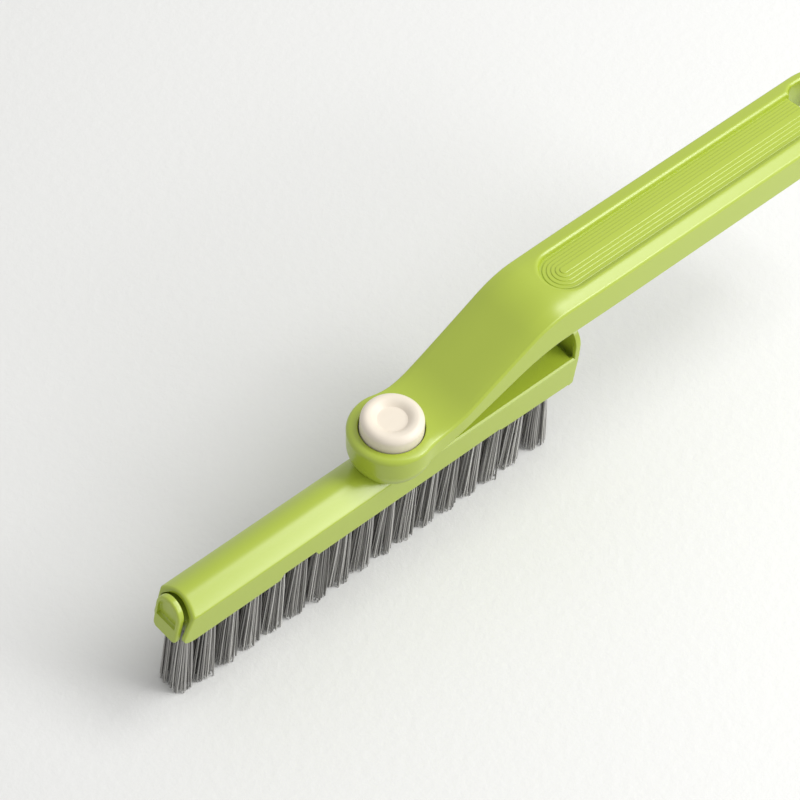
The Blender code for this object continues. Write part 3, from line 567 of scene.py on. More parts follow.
def bayRing(start, end, draft):
    count = 16
    xs = [start + draft + (end - start - draft * 2) * k / count for k in range(count + 1)]
    sides = [sideAt(x) - grip["pocketWall"] - draft for x in xs]
    return [(x, y) for x, y in zip(xs, sides)] + [(x, -y) for x, y in zip(reversed(xs), reversed(sides))]


bays = pocketBays()
ceiling = grip["pocketWall"] + grip["panelDepth"] + grip["crown"]


def footHeight(x, y):
    low = handleFoot(x)
    for start, end in bays:
        deep = min(x - start, end - x, sideAt(x) - grip["pocketWall"] - abs(y))
        if deep > 0:
            return low + (handleTop(x) - ceiling - low) * clamped(deep / grip["pocketDraft"])
    return low


def gridPoints(keepClear, pitch):
    count = int((grip["reach"] + halfGrip + grip["bossRadius"]) / pitch)
    grid = [(-grip["bossRadius"] + pitch * (i + 0.5 * (j % 2)), pitch * j)
            for i in range(count) for j in range(-12, 13)]
    return [place for place in grid if keepClear(*place)]


def topClear(x, y):
    offLip = offPanel(x, y) > grip["lip"] + grip["panelClear"]
    offHole = x < grip["holeStart"] - grip["holeClear"] or abs(y) > halfGrip - grip["holeRim"] + grip["rimClear"]
    offWell = math.hypot(x, y) > grip["wellRadius"] + grip["wellClear"]
    return abs(y) < innerSide(x) - 0.5 and offWell and offLip and offHole


def webClear(x, y):
    return abs(y) < sideAt(x) - 4.5 and 5 < x < grip["pocketStart"] - 1 and math.hypot(x, y) > 11.5


def edgeProfile(x):
    soft = rounded(grip["topRound"], range(10, 100, 10))
    start, wide = math.radians(grip["crispDeg"]), grip["crispRound"]
    turns = [start + (math.pi / 2 - start) * k / 6 for k in range(7)]
    brink = wide * (1 - math.sin(start))
    crisp = [(brink + out, fall) for out, fall in grip["crispRows"]]
    crisp += [(wide * (1 - math.sin(turn)), grip["crispDrop"] + wide * (math.cos(start) - math.cos(turn)))
              for turn in turns]
    share = clamped((x - grip["crispFrom"]) / (grip["crispTo"] - grip["crispFrom"]))
    share = share * share * (3 - 2 * share)
    return [(mixed(a, c, share), mixed(b, d, share)) for (a, b), (c, d) in zip(soft, crisp)]


def footRoundAt(x):
    return mixed(grip["bossFootRound"], grip["footRound"], eased(x, *grip["footBend"]))


def insetEach(half, distances):
    moved = [inset(half, distance)[k] for k, distance in enumerate(distances)]
    return bothSides(moved)


def handleMesh():
    bm = bmesh.new()
    half = handleOutline()
    inner = bothSides(innerHalf)
    wellRings = [circle(grip["wellRadius"] - grip["wellStep"]), circle(grip["wellRadius"])]
    wellRings += [circle(grip["wellRadius"] + out) for _, out in wellEdge]
    places = [grip["lip"] + out for out in grip["sheetRows"]] + [place for place, _ in panelRows]
    panelRings = [stadium(panelFrom, panelTo, panelRadius + place) for place in places]
    holes = [holeRing(grip["holeRound"]), boreRing()] + slotRings()
    liftedSheet(bm, inner, holes, wellRings + panelRings, gridPoints(topClear, grip["pitch"]), topHeight)
    bmesh.ops.remove_doubles(bm, verts=bm.verts, dist=0.002)
    bmesh.ops.join_triangles(bm, faces=bm.faces, angle_face_threshold=math.radians(10),
                             angle_shape_threshold=math.radians(25))
    rings = []
    edges = [edgeProfile(x) for x, _ in half]
    for k in range(len(edges[0])):  # the upper edge, soft at the boss, crisp on the grip
        out = insetEach(half, [edge[k][0] for edge in edges])
        falls = [edge[k][1] for edge in edges]
        falls = falls + falls[-2:0:-1]
        rings.append([(x, y, handleTop(x) - crownAt(x) - fall) for (x, y), fall in zip(out, falls)])
    for rise, tuck in rounded(1.0, (0, 30, 60, 90)):  # the lower edge
        rounds = [footRoundAt(x) for x, _ in half]
        out = insetEach(half, [grip["sideDraft"] + size * tuck for size in rounds])
        rounds = rounds + rounds[-2:0:-1]
        rings.append([(x, y, handleFoot(x) + size * rise) for (x, y), size in zip(out, rounds)])
    loft(bm, [[(x, y, crownedTop(x, y)) for x, y in inner]] + rings)
    footOuter = [point[:2] for point in rings[-1]]
    low = grip["bossFoot"]
    for ring in [boreRing()] + slotRings():  # the bore and the slots go straight down
        loft(bm, [[(x, y, grip["webTop"]) for x, y in ring], [(x, y, low) for x, y in ring]])
    rim = openLoop(bm, (grip["reach"] + halfGrip - grip["holeRim"] + grip["holeRound"], 0.0))
    level, path = rim, [vert.co.copy() for vert in rim]
    for grow, drop in rounded(grip["holeRound"], (30, 60, 90)):  # the hole's upper edge, then its lower one
        level = bridge(bm, level, [(x, y, start.z - drop) for (x, y), start in zip(holePull(path, grow), path)])
    for grow, drop in rounded(grip["holeRound"], (90, 60, 30, 0)):
        level = bridge(bm, level, [(x, y, gripFoot + drop) for x, y in holePull(path, grow)])
    holeFoot = [(vert.co.x, vert.co.y) for vert in level]
    bayRings = [bayRing(start, end, draft) for start, end in bays for draft in (0.0, grip["pocketDraft"])]
    fill = gridPoints(webClear, grip["coarsePitch"])
    liftedSheet(bm, footOuter, [holeFoot, boreRing()] + slotRings(), bayRings, fill, footHeight)
    return bm


def holePull(path, grow):
    ring = holeRing(grip["holeRound"])
    target = holeRing(grow)
    points = []
    for point in path:
        best, place = 1e9, None
        for k in range(len(ring)):
            a, b = Vector(ring[k]), Vector(ring[(k + 1) % len(ring)])
            edge = b - a
            if edge.length < 1e-6:
                continue
            t = clamped((point.xy - a).dot(edge) / edge.length_squared)
            gap = (a + edge * t - point.xy).length
            if gap < best:
                best = gap
                c, d = Vector(target[k]), Vector(target[(k + 1) % len(ring)])
                place = c + (d - c) * t
        points.append((place.x, place.y))
    return points


finishedPiece("sBentHandle", handleMesh(), green, "handle", ["handle"], 50)


# The head is a channel lofted along its length, with the turret and the end wall joined on.

head = {
    "left": -84.4, "right": 73.8, "width": 15.8, "wall": 1.5, "skirtFoot": 27.5, "skirtHeight": 12.7,
    "leanIn": 0.9, "roofRise": 4.0, "deckRise": 0.4, "ridgeRound": 0.6, "ridgeEase": 0.65,
    "roofRunOut": 14.5, "roofDrop": 3.5, "rimPlaces": (1.3, 1.7, 2.2, 3.0, 3.6, 4.6, 6.0, 8.0, 12.0, 20.0),
    "places": (-45.0, -15.0, -8.0, 0.0, 6.0, 22.0, 32.0, 52.0, 62.0),
    "endLean": 4.6, "cornerRound": 6.0, "rimRound": 0.8, "footRound": 0.45,
    "notch": (-49.8, 15.6, 2.4, 1.7, 1.3), "deepStart": 41.0, "deepStep": 0.9, "deepEnd": 2.0, "deepHook": 1.6,
    "endWall": 2.2, "endCorner": 1.6, "endRound": 0.5, "lipStraight": 5.0, "slotLength": 1.1,
    "scoopRows": ((0.25, 0.06), (0.6, 0.35), (0.85, 0.85), (1.4, 1.6)), "scoopRim": 1.2,
    "turretTop": 13.69, "turretFoot": 12.35, "turretRise": 2.8, "turretHigh": 48.24,
    "turretEdge": 0.03, "turretFootRound": 0.9, "turretShares": (0.15, 0.3, 0.45, 0.6, 0.75, 0.88, 1.0),
    "cupRadius": 11.2, "cupFloor": 44.5, "detentDepth": 0.7, "detentHeight": 1.4, "detents": 12,
    "postRadius": 4.0, "postTop": 50.15, "keyReach": 1.2, "keyWidth": 1.6, "keyTop": 49.55,
    "railReach": 1.1, "railHeight": 1.0, "railTop": 31.3, "screwHole": 1.8,
}
ridge = head["skirtFoot"] + head["skirtHeight"]
halfHead = head["width"] / 2
wallX = head["right"] - head["endWall"]


def outerSide(z):
    return halfHead - head["leanIn"] * (ridge - z) / head["skirtHeight"]


def skirtFootAt(x):
    start, length, high, slant, endSlant = head["notch"]
    foot = head["skirtFoot"] + high * clamped(min((x - start) / slant, (start + length - x) / endSlant))
    deep = head["deepStart"]
    if x > deep:
        hook, share = deep + head["deepHook"], (x - deep) / (head["right"] - deep)
        foot -= mixed(head["deepStep"], head["deepEnd"], share) * clamped((x - deep) / (hook - deep))
    return foot


def cornerRise(along):
    reach = head["cornerRound"]
    if along >= reach:
        return 0.0
    t = 1 - math.sqrt(along / reach)
    return reach * t * t


def headSection(foot, rise, shrink):
    side, top = halfHead - shrink, ridge - shrink
    outer = [(side * share, top + rise * (1 - share**2)) for share in [k / 14 for k in range(14)]]
    bend = head["ridgeRound"] * (1 - head["ridgeEase"] * rise / head["roofRise"])
    slope = 2 * rise / halfHead * (1 - bend / halfHead)
    outer += [(side - bend * (1 - t), top + slope * bend * (1 - t) - bend * t) for t in (0.0, 0.2, 0.5, 0.8, 1.0)]
    low = foot + shrink
    soft = head["footRound"]
    outer += [(outerSide(low + soft * 3) - shrink, low + soft * 3), (outerSide(low + soft) - shrink, low + soft)]
    outer += [(outerSide(low) - shrink - soft * 0.3, low + soft * 0.3), (outerSide(low) - shrink - soft, low)]
    hollow, wall = shrink * 0.3, head["wall"]
    wide = halfHead - wall + hollow
    inner = [(outerSide(low) - wall + hollow, low), (wide, ridge - wall)]
    inner += [(wide * share, ridge - wall + hollow + rise * (1 - share**2))
              for share in [k / 10 for k in range(9, -1, -1)]]
    half = outer + inner
    return half + [(-y, z) for y, z in reversed(half[1:-1])]


def headChannel():
    rings = []
    left = head["left"]
    alongs = rounded(head["rimRound"], range(0, 91, 15))
    alongs += [(along, 0.0) for along in head["rimPlaces"]]
    start, length, _, slant, endSlant = head["notch"]
    marks = [start, start + slant, start + length - endSlant, start + length]
    runOut = head["roofRunOut"]
    marks += [runOut - head["roofDrop"], runOut, head["deepStart"], head["deepStart"] + head["deepHook"], wallX + 0.3]
    alongs += [(mark - left, 0.0) for mark in marks + list(head["places"])]
    for along, shrink in sorted(alongs):
        x = left + along
        fade = clamped((x - runOut + head["roofDrop"]) / head["roofDrop"])
        rise = mixed(head["roofRise"], head["deckRise"], fade)
        lean = head["endLean"] * clamped(1 - along / 20)
        foot = skirtFootAt(x) + cornerRise(along)
        section = headSection(foot, rise, shrink)
        rings.append([(x - lean * (ridge - z) / head["skirtHeight"], y, z) for y, z in section])
    return cappedLoft(rings)


def endWall():
    foot = skirtFootAt(head["right"])
    spring = ridge + head["lipStraight"]
    rings, thick, corner = [], head["endWall"], head["endCorner"]
    planes = [(wallX, 0.3), (wallX + 0.09, 0.09), (wallX + 0.3, 0.0)]
    planes += [(wallX + thick - out, tuck) for out, tuck in rounded(head["endRound"], range(0, 91, 18))]
    for x, tuck in planes:
        side, low = halfHead - tuck, outerSide(foot) - tuck
        lift = max(x - (head["right"] - corner), 0.0)
        rise = corner - math.sqrt(max(corner**2 - lift**2, 0.0))
        top = [(x, y, spring + z) for y, z in arc(side, 0, 180, 40)]
        rings.append([(x, low, foot + rise), (x, side, ridge)] + top + [(x, -side, ridge), (x, -low, foot + rise)])
    return cappedLoft(rings)


def lipScoop():
    spring, low = ridge + head["lipStraight"], ridge - head["wall"] - 1.0
    side = halfHead - head["scoopRim"]
    rings = []
    planes = [(wallX - head["slotLength"], 0.0), (wallX, 0.0)]
    planes += [(wallX + deep, narrow) for deep, narrow in head["scoopRows"]]
    for x, narrow in planes:
        top = [(x, y, spring + z) for y, z in arc(side - narrow, 0, 180, 40)]
        rings.append([(x, side - narrow, low)] + top + [(x, narrow - side, low)])
    return cappedLoft(rings)


def turret():
    low, high = ridge + head["turretRise"], head["turretHigh"]
    wide, narrow = head["turretTop"], head["turretFoot"]
    edge, soft = head["turretEdge"], head["turretFootRound"]
    profile = [(0.0, high), (wide - edge, high), (wide, high - edge)]
    profile += [(wide + (narrow - wide) * share**2, high + (low + soft - high) * share)
                for share in head["turretShares"]]
    profile += [(narrow - soft + x, low + soft - z) for x, z in arc(soft, 15, 90, 6)]
    return lathe(profile + [(0.0, low)], 96)


def notchedCup():
    count = head["detents"] * 8
    ring = []
    for k in range(count):
        turn = math.tau * k / count
        radius = head["cupRadius"] + head["detentDepth"] * max(0.0, math.cos(turn * head["detents"]))
        ring.append((radius * math.cos(turn), radius * math.sin(turn)))
    low, high = head["turretHigh"] - head["detentHeight"], head["turretHigh"] + 1.0
    return cappedLoft([[(x, y, z) for x, y in ring] for z in (low, high)])


def stem(radius, low, high, facets):
    return lathe([(0.0, high), (radius, high), (radius, low), (0.0, low)], facets)


def box(low, high):
    bm = bmesh.new()
    size = [b - a for a, b in zip(low, high)]
    middle = [(a + b) / 2 for a, b in zip(low, high)]
    bmesh.ops.create_cube(bm, size=1, matrix=Matrix.Translation(middle) @ Matrix.Diagonal((*size, 1)))
    return bm


def rail(side):
    high = head["railTop"]
    low = high - head["railHeight"]
    face = outerSide(high) - head["wall"] - head["railReach"]
    buried = outerSide(low) - head["wall"] / 2
    near, far = (face, buried) if side > 0 else (-buried, -face)
    return box((head["left"] + 1.0, near, low), (wallX + 0.3, far, high))


def headMesh():
    floor = head["cupFloor"]
    groove = head["cupRadius"] + head["detentDepth"] + 0.3
    key = (-head["postRadius"] - head["keyReach"], -head["keyWidth"] / 2, floor - 0.35)
    return combined(headChannel(), [
        ("UNION", rail(1)), ("UNION", rail(-1)), ("UNION", endWall()), ("DIFFERENCE", lipScoop()),
        ("UNION", turret()), ("DIFFERENCE", notchedCup()),
        ("DIFFERENCE", stem(groove, floor, head["turretHigh"] - head["detentHeight"] / 2, 72)),
        ("UNION", stem(head["postRadius"], floor - 0.7, head["postTop"], 48)),
        ("UNION", box(key, (-head["postRadius"] / 2, head["keyWidth"] / 2, head["keyTop"]))),
        ("DIFFERENCE", stem(head["screwHole"], ridge, head["postTop"] + 1.0, 32)),
    ])


finishedPiece("headHousing", headMesh(), green, "head", ["head_housing"])


button = {
    "radius": 10.12, "top": 61.45, "foot": 52.35, "dishRadius": 4.7, "dishDepth": 1.5, "rimRound": 2.2,
    "rimRows": ((0.02, 0.02), (0.08, 0.13), (0.18, 0.31), (0.32, 0.54), (0.48, 0.75), (0.66, 0.91), (0.84, 0.98)),
    "dishRows": (0.0, 0.4, 0.8, 0.97), "lean": 0.15,
    "wall": 1.6, "ceiling": 58.88, "legInner": 8.05, "legOuter": 9.75, "legWidth": 4.0,
    "footLow": 46.8, "footTop": 47.7, "footReach": 10.65, "facets": 96,
}


def buttonMesh():
    radius, top, rim = button["radius"], button["top"], button["rimRound"]
    dish = top - button["dishDepth"]
    rimX, rimZ = radius - button["lean"] - rim, top - rim
    foot, wall, ceiling = button["foot"], button["wall"], button["ceiling"]
    inner = radius - wall
    floorEdge = button["dishRadius"]
    profile = [(floorEdge * share, dish) for share in button["dishRows"]]
    reach = rimX - floorEdge
    profile += [(floorEdge + reach * along, dish + button["dishDepth"] * lift) for along, lift in button["rimRows"]]
    profile += [(rimX + x, rimZ + z) for x, z in arc(rim, 90, 0, 18)]
    profile += [(radius, foot + 0.2), (radius - 0.2, foot), (inner, foot)]
    profile += [(inner, ceiling - wall), (inner - wall, ceiling), (0.0, ceiling)]
    near, far, toe = button["legInner"], button["legOuter"], button["footReach"]
    low, high, wide = button["footLow"], button["footTop"], button["legWidth"] / 2
    outline = [(near, foot + wall), (near, low), (toe, low), (toe, high), (far, high), (far, foot + wall)]
    legs = []
    for angle in legTurns:
        turn = Matrix.Rotation(angle, 3, "Z")
        legs.append(("UNION", cappedLoft([[turn @ Vector((x, y, z)) for x, z in outline] for y in (-wide, wide)])))
    return combined(lathe(profile, button["facets"]), legs)


finishedPiece("lockButton", buttonMesh(), cream, "button", ["lock_button"])


coil = {"radius": 4.7, "wire": 0.4, "foot": 52.0, "top": 58.14, "turns": 4, "steps": 36, "sides": 8}


def coilMesh():
    bm = bmesh.new()
    count = coil["turns"] * coil["steps"]
    rings = []
    for k in range(count + 1):
        turn = math.tau * k / coil["steps"]
        height = coil["foot"] + (coil["top"] - coil["foot"]) * k / count
        wire = [(coil["radius"] + x, height + z) for x, z in circle(coil["wire"], coil["sides"])]
        rings.append([(out * math.cos(turn), out * math.sin(turn), z) for out, z in wire])
    rows = loft(bm, rings)
    bm.faces.new(rows[0])
    bm.faces.new(rows[-1])
    return bm


# The spring sits under the button and is joined to no body; its placement is baked into its mesh.
returnSpring = finishedPiece("returnSpring", coilMesh(), steel, None, ["button_spring"], 50)
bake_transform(returnSpring)


carrier = {
    "barFrom": -85.2, "barTo": 71.3, "top": 37.6, "foot": 31.6, "clearance": 0.3, "neckWidth": 6.0,
    "neckDepth": 1.7, "tabRound": 0.65,
    "recessRows": ((-1.2, 0.0), (0.0, 0.0), (0.5, 0.06), (0.85, 0.16), (1.0, 0.34)),
    "faceX": -87.9, "tabLean": 1.7, "leanHeight": 11.0, "tabThickness": 2.2, "tabWidth": 10.8, "tabTop": 44.0,
    "tabFoot": 28.8, "tabFootWidth": 10.4, "tabFootRound": 1.6, "recessRim": 1.25, "recessTopDepth": 0.5,
    "recessLedgeDepth": 1.25, "ledge": 34.6, "holeRadius": 2.0, "holeTop": 36.8, "staple": (4.4, 0.5, 35.9, 36.5),
}


def tabLeaned(x, z):
    return x - carrier["tabLean"] * (ridge - z) / carrier["leanHeight"]


def tabOutline(grow):
    half, footHalf = carrier["tabWidth"] / 2 + grow, carrier["tabFootWidth"] / 2 + grow
    spring, foot = carrier["tabTop"] - carrier["tabWidth"] / 2, carrier["tabFoot"] - grow
    corner = carrier["tabFootRound"]
    right = [(footHalf - corner + y, foot + corner + z) for y, z in arc(corner, -90, 0, 8)]
    top = [(y, spring + z) for y, z in arc(half, 0, 180, 40)]
    return right + top + [(-y, z) for y, z in reversed(right)]


def tabBody():
    face, thick = carrier["faceX"], carrier["tabThickness"]
    levels = [(face + along, -tuck) for along, tuck in reversed(rounded(carrier["tabRound"], range(0, 91, 15)))]
    levels += [(face + thick - 0.4, 0.0), (face + thick - 0.12, -0.12), (face + thick, -0.4)]
    return cappedLoft([[(tabLeaned(x, z), y, z) for y, z in tabOutline(grow)] for x, grow in levels])


def tabRecess():
    rings = []
    ledge, top = carrier["ledge"], carrier["tabTop"]
    for share, rim in carrier["recessRows"]:
        ring = [(y, z) for y, z in tabOutline(-carrier["recessRim"] - rim) if z > ledge]
        ring = [(ring[0][0], ledge + rim)] + ring + [(-ring[0][0], ledge + rim)]
        points = []
        for y, z in ring:
            depth = mixed(carrier["recessTopDepth"], carrier["recessLedgeDepth"], (top - z) / (top - ledge))
            points.append((tabLeaned(carrier["faceX"] + depth * share, z), y, z))
        rings.append(points)
    return cappedLoft(rings)


def tabNeck():
    rings = []
    half, gap = carrier["neckWidth"] / 2, carrier["clearance"]
    for z in (carrier["foot"] + gap, carrier["top"] - gap):
        left, right = tabLeaned(carrier["faceX"] + carrier["neckDepth"], z), carrier["barFrom"] + gap
        rings.append([(left, -half, z), (right, -half, z), (right, half, z), (left, half, z)])
    return cappedLoft(rings)


def together(shapes):
    bm = bmesh.new()
    for shape in shapes:
        scratch = meshOf(shape, "scratch")
        bm.from_mesh(scratch)
        bpy.data.meshes.remove(scratch)
    return bm


tuft = {
    "count": 17, "first": -82.7, "last": 63.0, "rowSpacing": 4.8, "rootRadius": 1.62, "tipReach": 4.1,
    "tipRadius": 3.3, "rootTop": 35.6, "tipLow": 0.06, "tipLean": 3.8, "tipSpread": 0.7, "endSplay": 2.4,
    "endReach": 3.75, "lastLean": 0.5, "lastReach": 4.7, "filaments": 60, "filamentRadius": 0.23, "points": 8,
    "wave": 0.40, "uneven": 0.02, "seed": 7, "spiral": 2.399963, "fanPower": 0.55,
}


def tuftPlaces():
    step = (tuft["last"] - tuft["first"]) / (tuft["count"] - 1)
    return [(tuft["first"] + step * k, side * tuft["rowSpacing"] / 2)
            for k in range(tuft["count"]) for side in (-1, 1)]


def carrierMesh():
    wide, narrow = [outerSide(carrier[key]) - head["wall"] - carrier["clearance"] for key in ("top", "foot")]
    section = [(wide, carrier["top"]), (-wide, carrier["top"]), (-narrow, carrier["foot"]), (narrow, carrier["foot"])]
    bar = cappedLoft([[(x, y, z) for y, z in section] for x in (carrier["barFrom"], carrier["barTo"])])
    holes, staples = [], []
    long, thick, low, high = carrier["staple"]
    for x, y in tuftPlaces():
        hole = stem(carrier["holeRadius"], carrier["foot"] - 1.0, carrier["holeTop"], 24)
        bmesh.ops.translate(hole, verts=hole.verts, vec=(x, y, 0.0))
        holes.append(hole)
        staples.append(box((x - long / 2, y - thick / 2, low), (x + long / 2, y + thick / 2, high)))
    return combined(bar, [("UNION", tabNeck()), ("UNION", tabBody()), ("DIFFERENCE", tabRecess()),
                          ("DIFFERENCE", together(holes)), ("UNION", together(staples))])


finishedPiece("bristleCarrier", carrierMesh(), green, "carrier", ["bristle_carrier"])


# The tufts are filaments that one node tree grows, a tuft at a time.

def tuftTree():
    made = bpy.data.node_groups.new("bristleTuft", "GeometryNodeTree")
    face = made.interface
    face.new_socket("Geometry", in_out="OUTPUT", socket_type="NodeSocketGeometry")
    names = [("Root", "Vector"), ("Tip", "Vector"), ("Filaments", "Int"), ("Points", "Int"),
             ("Root radius", "Float"), ("Tip reach", "Float"), ("Tip radius", "Float"), ("Filament radius", "Float"),
             ("Wave", "Float"), ("Uneven", "Float"), ("Seed", "Int"), ("Finish", "Material")]
    for name, kind in names:
        face.new_socket(name, in_out="INPUT", socket_type="NodeSocket" + kind)
    tree = Tree(made)
    entry = made.nodes.new("NodeGroupInput")
    given = {name: Port(tree, entry.outputs[name]) for name, _ in names}

    def grow(kind, settings=None, values=None, out=0):
        return tree.add("GeometryNode" + kind, settings, values, out)

    def randomValue(low, high, seed):
        return tree.add("FunctionNodeRandomValue", {"data_type": "FLOAT"},
                        {2: low, 3: high, "ID": grow("InputIndex"), "Seed": seed}, out=1)

    def apart(x, y, z):
        return tree.add("ShaderNodeCombineXYZ", {}, {0: x, 1: y, 2: z})

    def added(first, second):
        return tree.add("ShaderNodeVectorMath", {"operation": "ADD"}, {0: first, 1: second})

    def pieces(vector):
        parted = tree.add("ShaderNodeSeparateXYZ", {}, {0: vector})
        return [Port(tree, parted.socket.node.outputs[k]) for k in range(3)]

    index = grow("InputIndex")
    turn = index * tuft["spiral"] + randomValue(0.0, 0.5, given["Seed"])
    spread = ((index + 0.5) / given["Filaments"]) ** 0.5
    disc = apart(tree.maths("COSINE", turn) * spread, tree.maths("SINE", turn) * spread, 0.0)
    dots = grow("Points", {}, {"Count": given["Filaments"], "Position": disc})
    seeds = [given["Seed"] + float(k) for k in (11, 23, 37, 41)]
    drift = apart(*[randomValue(-1.0, 1.0, seed) for seed in seeds[:3]])
    for name, kind, value in (("place", "FLOAT_VECTOR", disc), ("drift", "FLOAT_VECTOR", drift),
                              ("shade", "FLOAT", randomValue(0.0, 1.0, seeds[3]))):
        dots = grow("StoreNamedAttribute", {"data_type": kind, "domain": "POINT"},
                    {"Geometry": dots, "Name": name, "Value": value})
    line = grow("CurvePrimitiveLine", {"mode": "POINTS"}, {"Start": (0, 0, 0), "End": (0, 0, -1)})
    line = grow("ResampleCurve", {}, {"Curve": line, "Count": given["Points"]})
    strands = grow("InstanceOnPoints", {}, {"Points": dots, "Instance": line})
    strands = grow("RealizeInstances", {}, {"Geometry": strands})
    along = grow("SplineParameter", out="Factor")
    place = grow("InputNamedAttribute", {"data_type": "FLOAT_VECTOR"}, {"Name": "place"})
    drifted = grow("InputNamedAttribute", {"data_type": "FLOAT_VECTOR"}, {"Name": "drift"})
    driftX, driftY, driftZ = pieces(drifted)
    placeX, placeY, _ = pieces(place)
    share = along * (1.0 - (driftZ + 1.0) * given["Uneven"] * 0.5)
    across = tree.add("ShaderNodeMix", {"data_type": "VECTOR"}, {0: share, 4: given["Root"], 5: given["Tip"]}, out=1)
    below = tree.maths("MAXIMUM", (share - 0.11) / 0.89, 0.0)  # the upper ninth is in the hole
    opened = below ** tuft["fanPower"]
    fan = apart(placeX * mixed(given["Root radius"], given["Tip reach"], opened),
                placeY * mixed(given["Root radius"], given["Tip radius"], opened), 0.0)
    swing = tree.maths("SINE", below * 3.2 + driftZ * 3.0)
    sway = apart(driftX * swing * given["Wave"] * below, driftY * swing * given["Wave"] * below, 0.0)
    moved = added(added(across, fan), sway)
    strands = grow("SetPosition", {}, {"Geometry": strands, "Position": moved})
    ring = grow("CurvePrimitiveCircle", {"mode": "RADIUS"}, {"Resolution": 4, "Radius": given["Filament radius"]})
    tubes = grow("CurveToMesh", {}, {"Curve": strands, "Profile Curve": ring, "Fill Caps": True})
    tubes = grow("SetShadeSmooth", {"domain": "FACE"}, {"Geometry": tubes, "Shade Smooth": True})
    tubes = grow("RealizeInstances", {}, {"Geometry": tubes})
    tubes = grow("SetMaterial", {}, {"Geometry": tubes, "Material": given["Finish"]})
    tree.fill(made.nodes.new("NodeGroupOutput"), {"Geometry": tubes})
    return made


def grownTuft(group, name, root, tip, reach, seed, node):
    holder = linked("holder", bpy.data.meshes.new("holder"))
    grower = holder.modifiers.new("grow", "NODES")
    grower.node_group = group
    values = {"Root": root, "Tip": tip, "Filaments": tuft["filaments"], "Points": tuft["points"],
              "Root radius": tuft["rootRadius"] * mm, "Tip reach": reach * mm, "Tip radius": tuft["tipRadius"] * mm,
              "Filament radius": tuft["filamentRadius"] * mm, "Wave": tuft["wave"] * mm, "Uneven": tuft["uneven"],
              "Seed": seed, "Finish": bristleGrey}
    for item in group.interface.items_tree:
        if item.in_out == "INPUT":
            grower[item.identifier] = values[item.name]
    mesh = evaluatedMesh(holder)
    bpy.data.objects.remove(holder)
    mesh.name = name
    piece = linked(name, mesh)
    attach(piece, "carrier")
    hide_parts(node)
    return piece


def growTufts():
    group = tuftTree()
    made = []
    for number, (rootX, rootY) in enumerate(tuftPlaces()):
        k, side, row = number // 2, (-1, 1)[number % 2], ("front", "back")[number % 2]
        x, y = pivotX + rootX * mm, rootY * mm
        lean, reach, spread = -tuft["tipLean"] * mm, tuft["tipReach"], tuft["tipSpread"]
        if k == 0:
            lean, reach, spread = -tuft["endSplay"] * mm, tuft["endReach"], 0.0
        if k == tuft["count"] - 1:
            lean, reach = -tuft["lastLean"] * mm, tuft["lastReach"]
        root = (x, y, tuft["rootTop"] * mm)
        tip = (x + lean, y + side * spread * mm, tuft["tipLow"] * mm)
        name, node = f"{row}Tuft{k + 1:02d}", f"tuft_{row}_{k + 1:02d}"
        made.append(grownTuft(group, name, root, tip, reach, tuft["seed"] * k + side, node))
    print("tufts", len(made), "with", len(made[0].data.polygons), "faces each")


growTufts()


stage = {
    "floorColor": (0.735, 0.735, 0.722, 1.0), "floorRoughness": 0.85, "floorSpecular": 0.2, "floorHalf": 6.0,
    "floorGrain": 260.0, "floorDepth": 0.0006, "worldLight": 0.60, "aim": (0.0, 0.0, 0.04),
    "keyPower": 12.4, "keyFrom": (0.42, -0.34, 0.65), "keyDistance": 1.1, "keySize": (0.44, 1.30),
    "keySide": (0.0, 0.87, 0.49),  # the key's long side lies across the brush
    "fillPower": 2.2, "fillFrom": (0.38, -0.82, 0.42), "fillDistance": 1.2, "fillSize": (0.25, 0.7),
    "fillSide": (1.0, 0.0, 0.0),
}


def softLamp(name):
    light = bpy.data.lights.new(name, "AREA")
    light.shape = "RECTANGLE"
    light.size, light.size_y = stage[name + "Size"]
    light.energy = stage[name + "Power"]
    lamp = linked(name, light)
    way, side = Vector(stage[name + "From"]).normalized(), Vector(stage[name + "Side"])
    lamp.location = Vector(stage["aim"]) + way * stage[name + "Distance"]
    along = (side - way * way.dot(side)).normalized()
    lamp.rotation_euler = Matrix((along.cross(way), along, way)).transposed().to_euler()


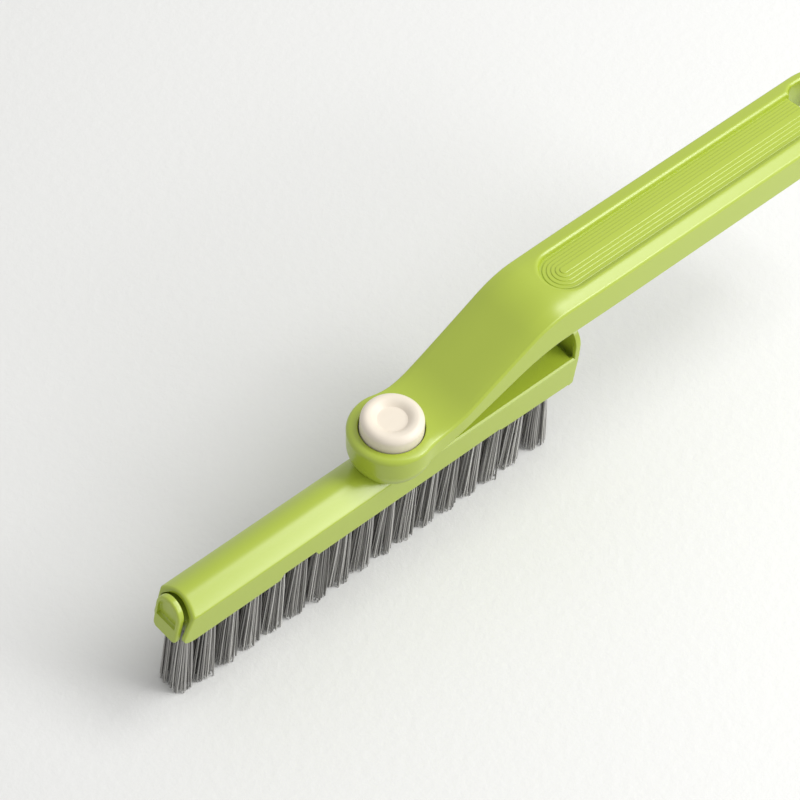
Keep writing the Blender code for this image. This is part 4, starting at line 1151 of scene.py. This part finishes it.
def studio():
    scene = bpy.context.scene
    scene.view_settings.view_transform = "Standard"
    world = bpy.data.worlds.new("studio")
    scene.world = world
    world.use_nodes = True
    tree = Tree(world.node_tree)
    background = world.node_tree.nodes["Background"]
    ray = tree.add("ShaderNodeLightPath", out="Is Camera Ray")
    glossy = Port(tree, ray.socket.node.outputs["Is Glossy Ray"])
    through = Port(tree, ray.socket.node.outputs["Is Transmission Ray"])
    seen = tree.maths("MAXIMUM", tree.maths("MAXIMUM", ray, glossy), through)
    tree.fill(background, {"Color": (1.0, 1.0, 1.0, 1.0),
                           "Strength": stage["worldLight"] + seen * (1.0 - stage["worldLight"])})

    bm = bmesh.new()
    bmesh.ops.create_grid(bm, x_segments=1, y_segments=1, size=stage["floorHalf"])
    floor = linked("floor", meshOf(bm, "floor"))
    finish, tree, shader, place = shaderOf("paleFloor")
    pulp = tree.noise(place, stage["floorGrain"], 5.0, 0.6)
    tree.fill(shader, {"Base Color": stage["floorColor"], "Roughness": stage["floorRoughness"],
                       "Specular IOR Level": stage["floorSpecular"]})
    tree.bump(shader, pulp, 0.35, stage["floorDepth"])
    floor.data.materials.append(finish)
    softLamp("key")
    softLamp("fill")


view = {
    "elevationDeg": 51.646, "azimuthDeg": 45.429, "rollDeg": 4.607, "focalPixels": 3253.7,
    "distance": 0.98797, "pixel": (391.82, 426.61), "frame": 800,
}


def photoCamera():
    up, turn, roll = [math.radians(view[key]) for key in ("elevationDeg", "azimuthDeg", "rollDeg")]
    n = Vector((-math.sin(turn) * math.cos(up), -math.cos(turn) * math.cos(up), math.sin(up)))
    flatRight = Vector((math.cos(turn), -math.sin(turn), 0.0))
    flatUp = n.cross(flatRight)
    right = flatRight * math.cos(roll) + flatUp * math.sin(roll)
    above = n.cross(right)
    point = Vector((pivotX, 0.0, grip["bossTop"] * mm))
    scale = view["distance"] / view["focalPixels"]
    across, rise = (view["pixel"][0] - view["frame"] / 2) * scale, (view["frame"] / 2 - view["pixel"][1]) * scale
    place = point + n * view["distance"] - right * across - above * rise
    camera = bpy.data.cameras.new("photoCamera")
    camera.sensor_width = 36.0
    camera.lens = view["focalPixels"] / view["frame"] * camera.sensor_width
    camera.clip_start, camera.clip_end = 0.01, 20.0
    holder = linked("photoCamera", camera)
    holder.matrix_world = Matrix.Translation(place) @ Matrix((right, above, n)).transposed().to_4x4()
    bpy.context.scene.camera = holder


studio()
photoCamera()
print("studio ready")
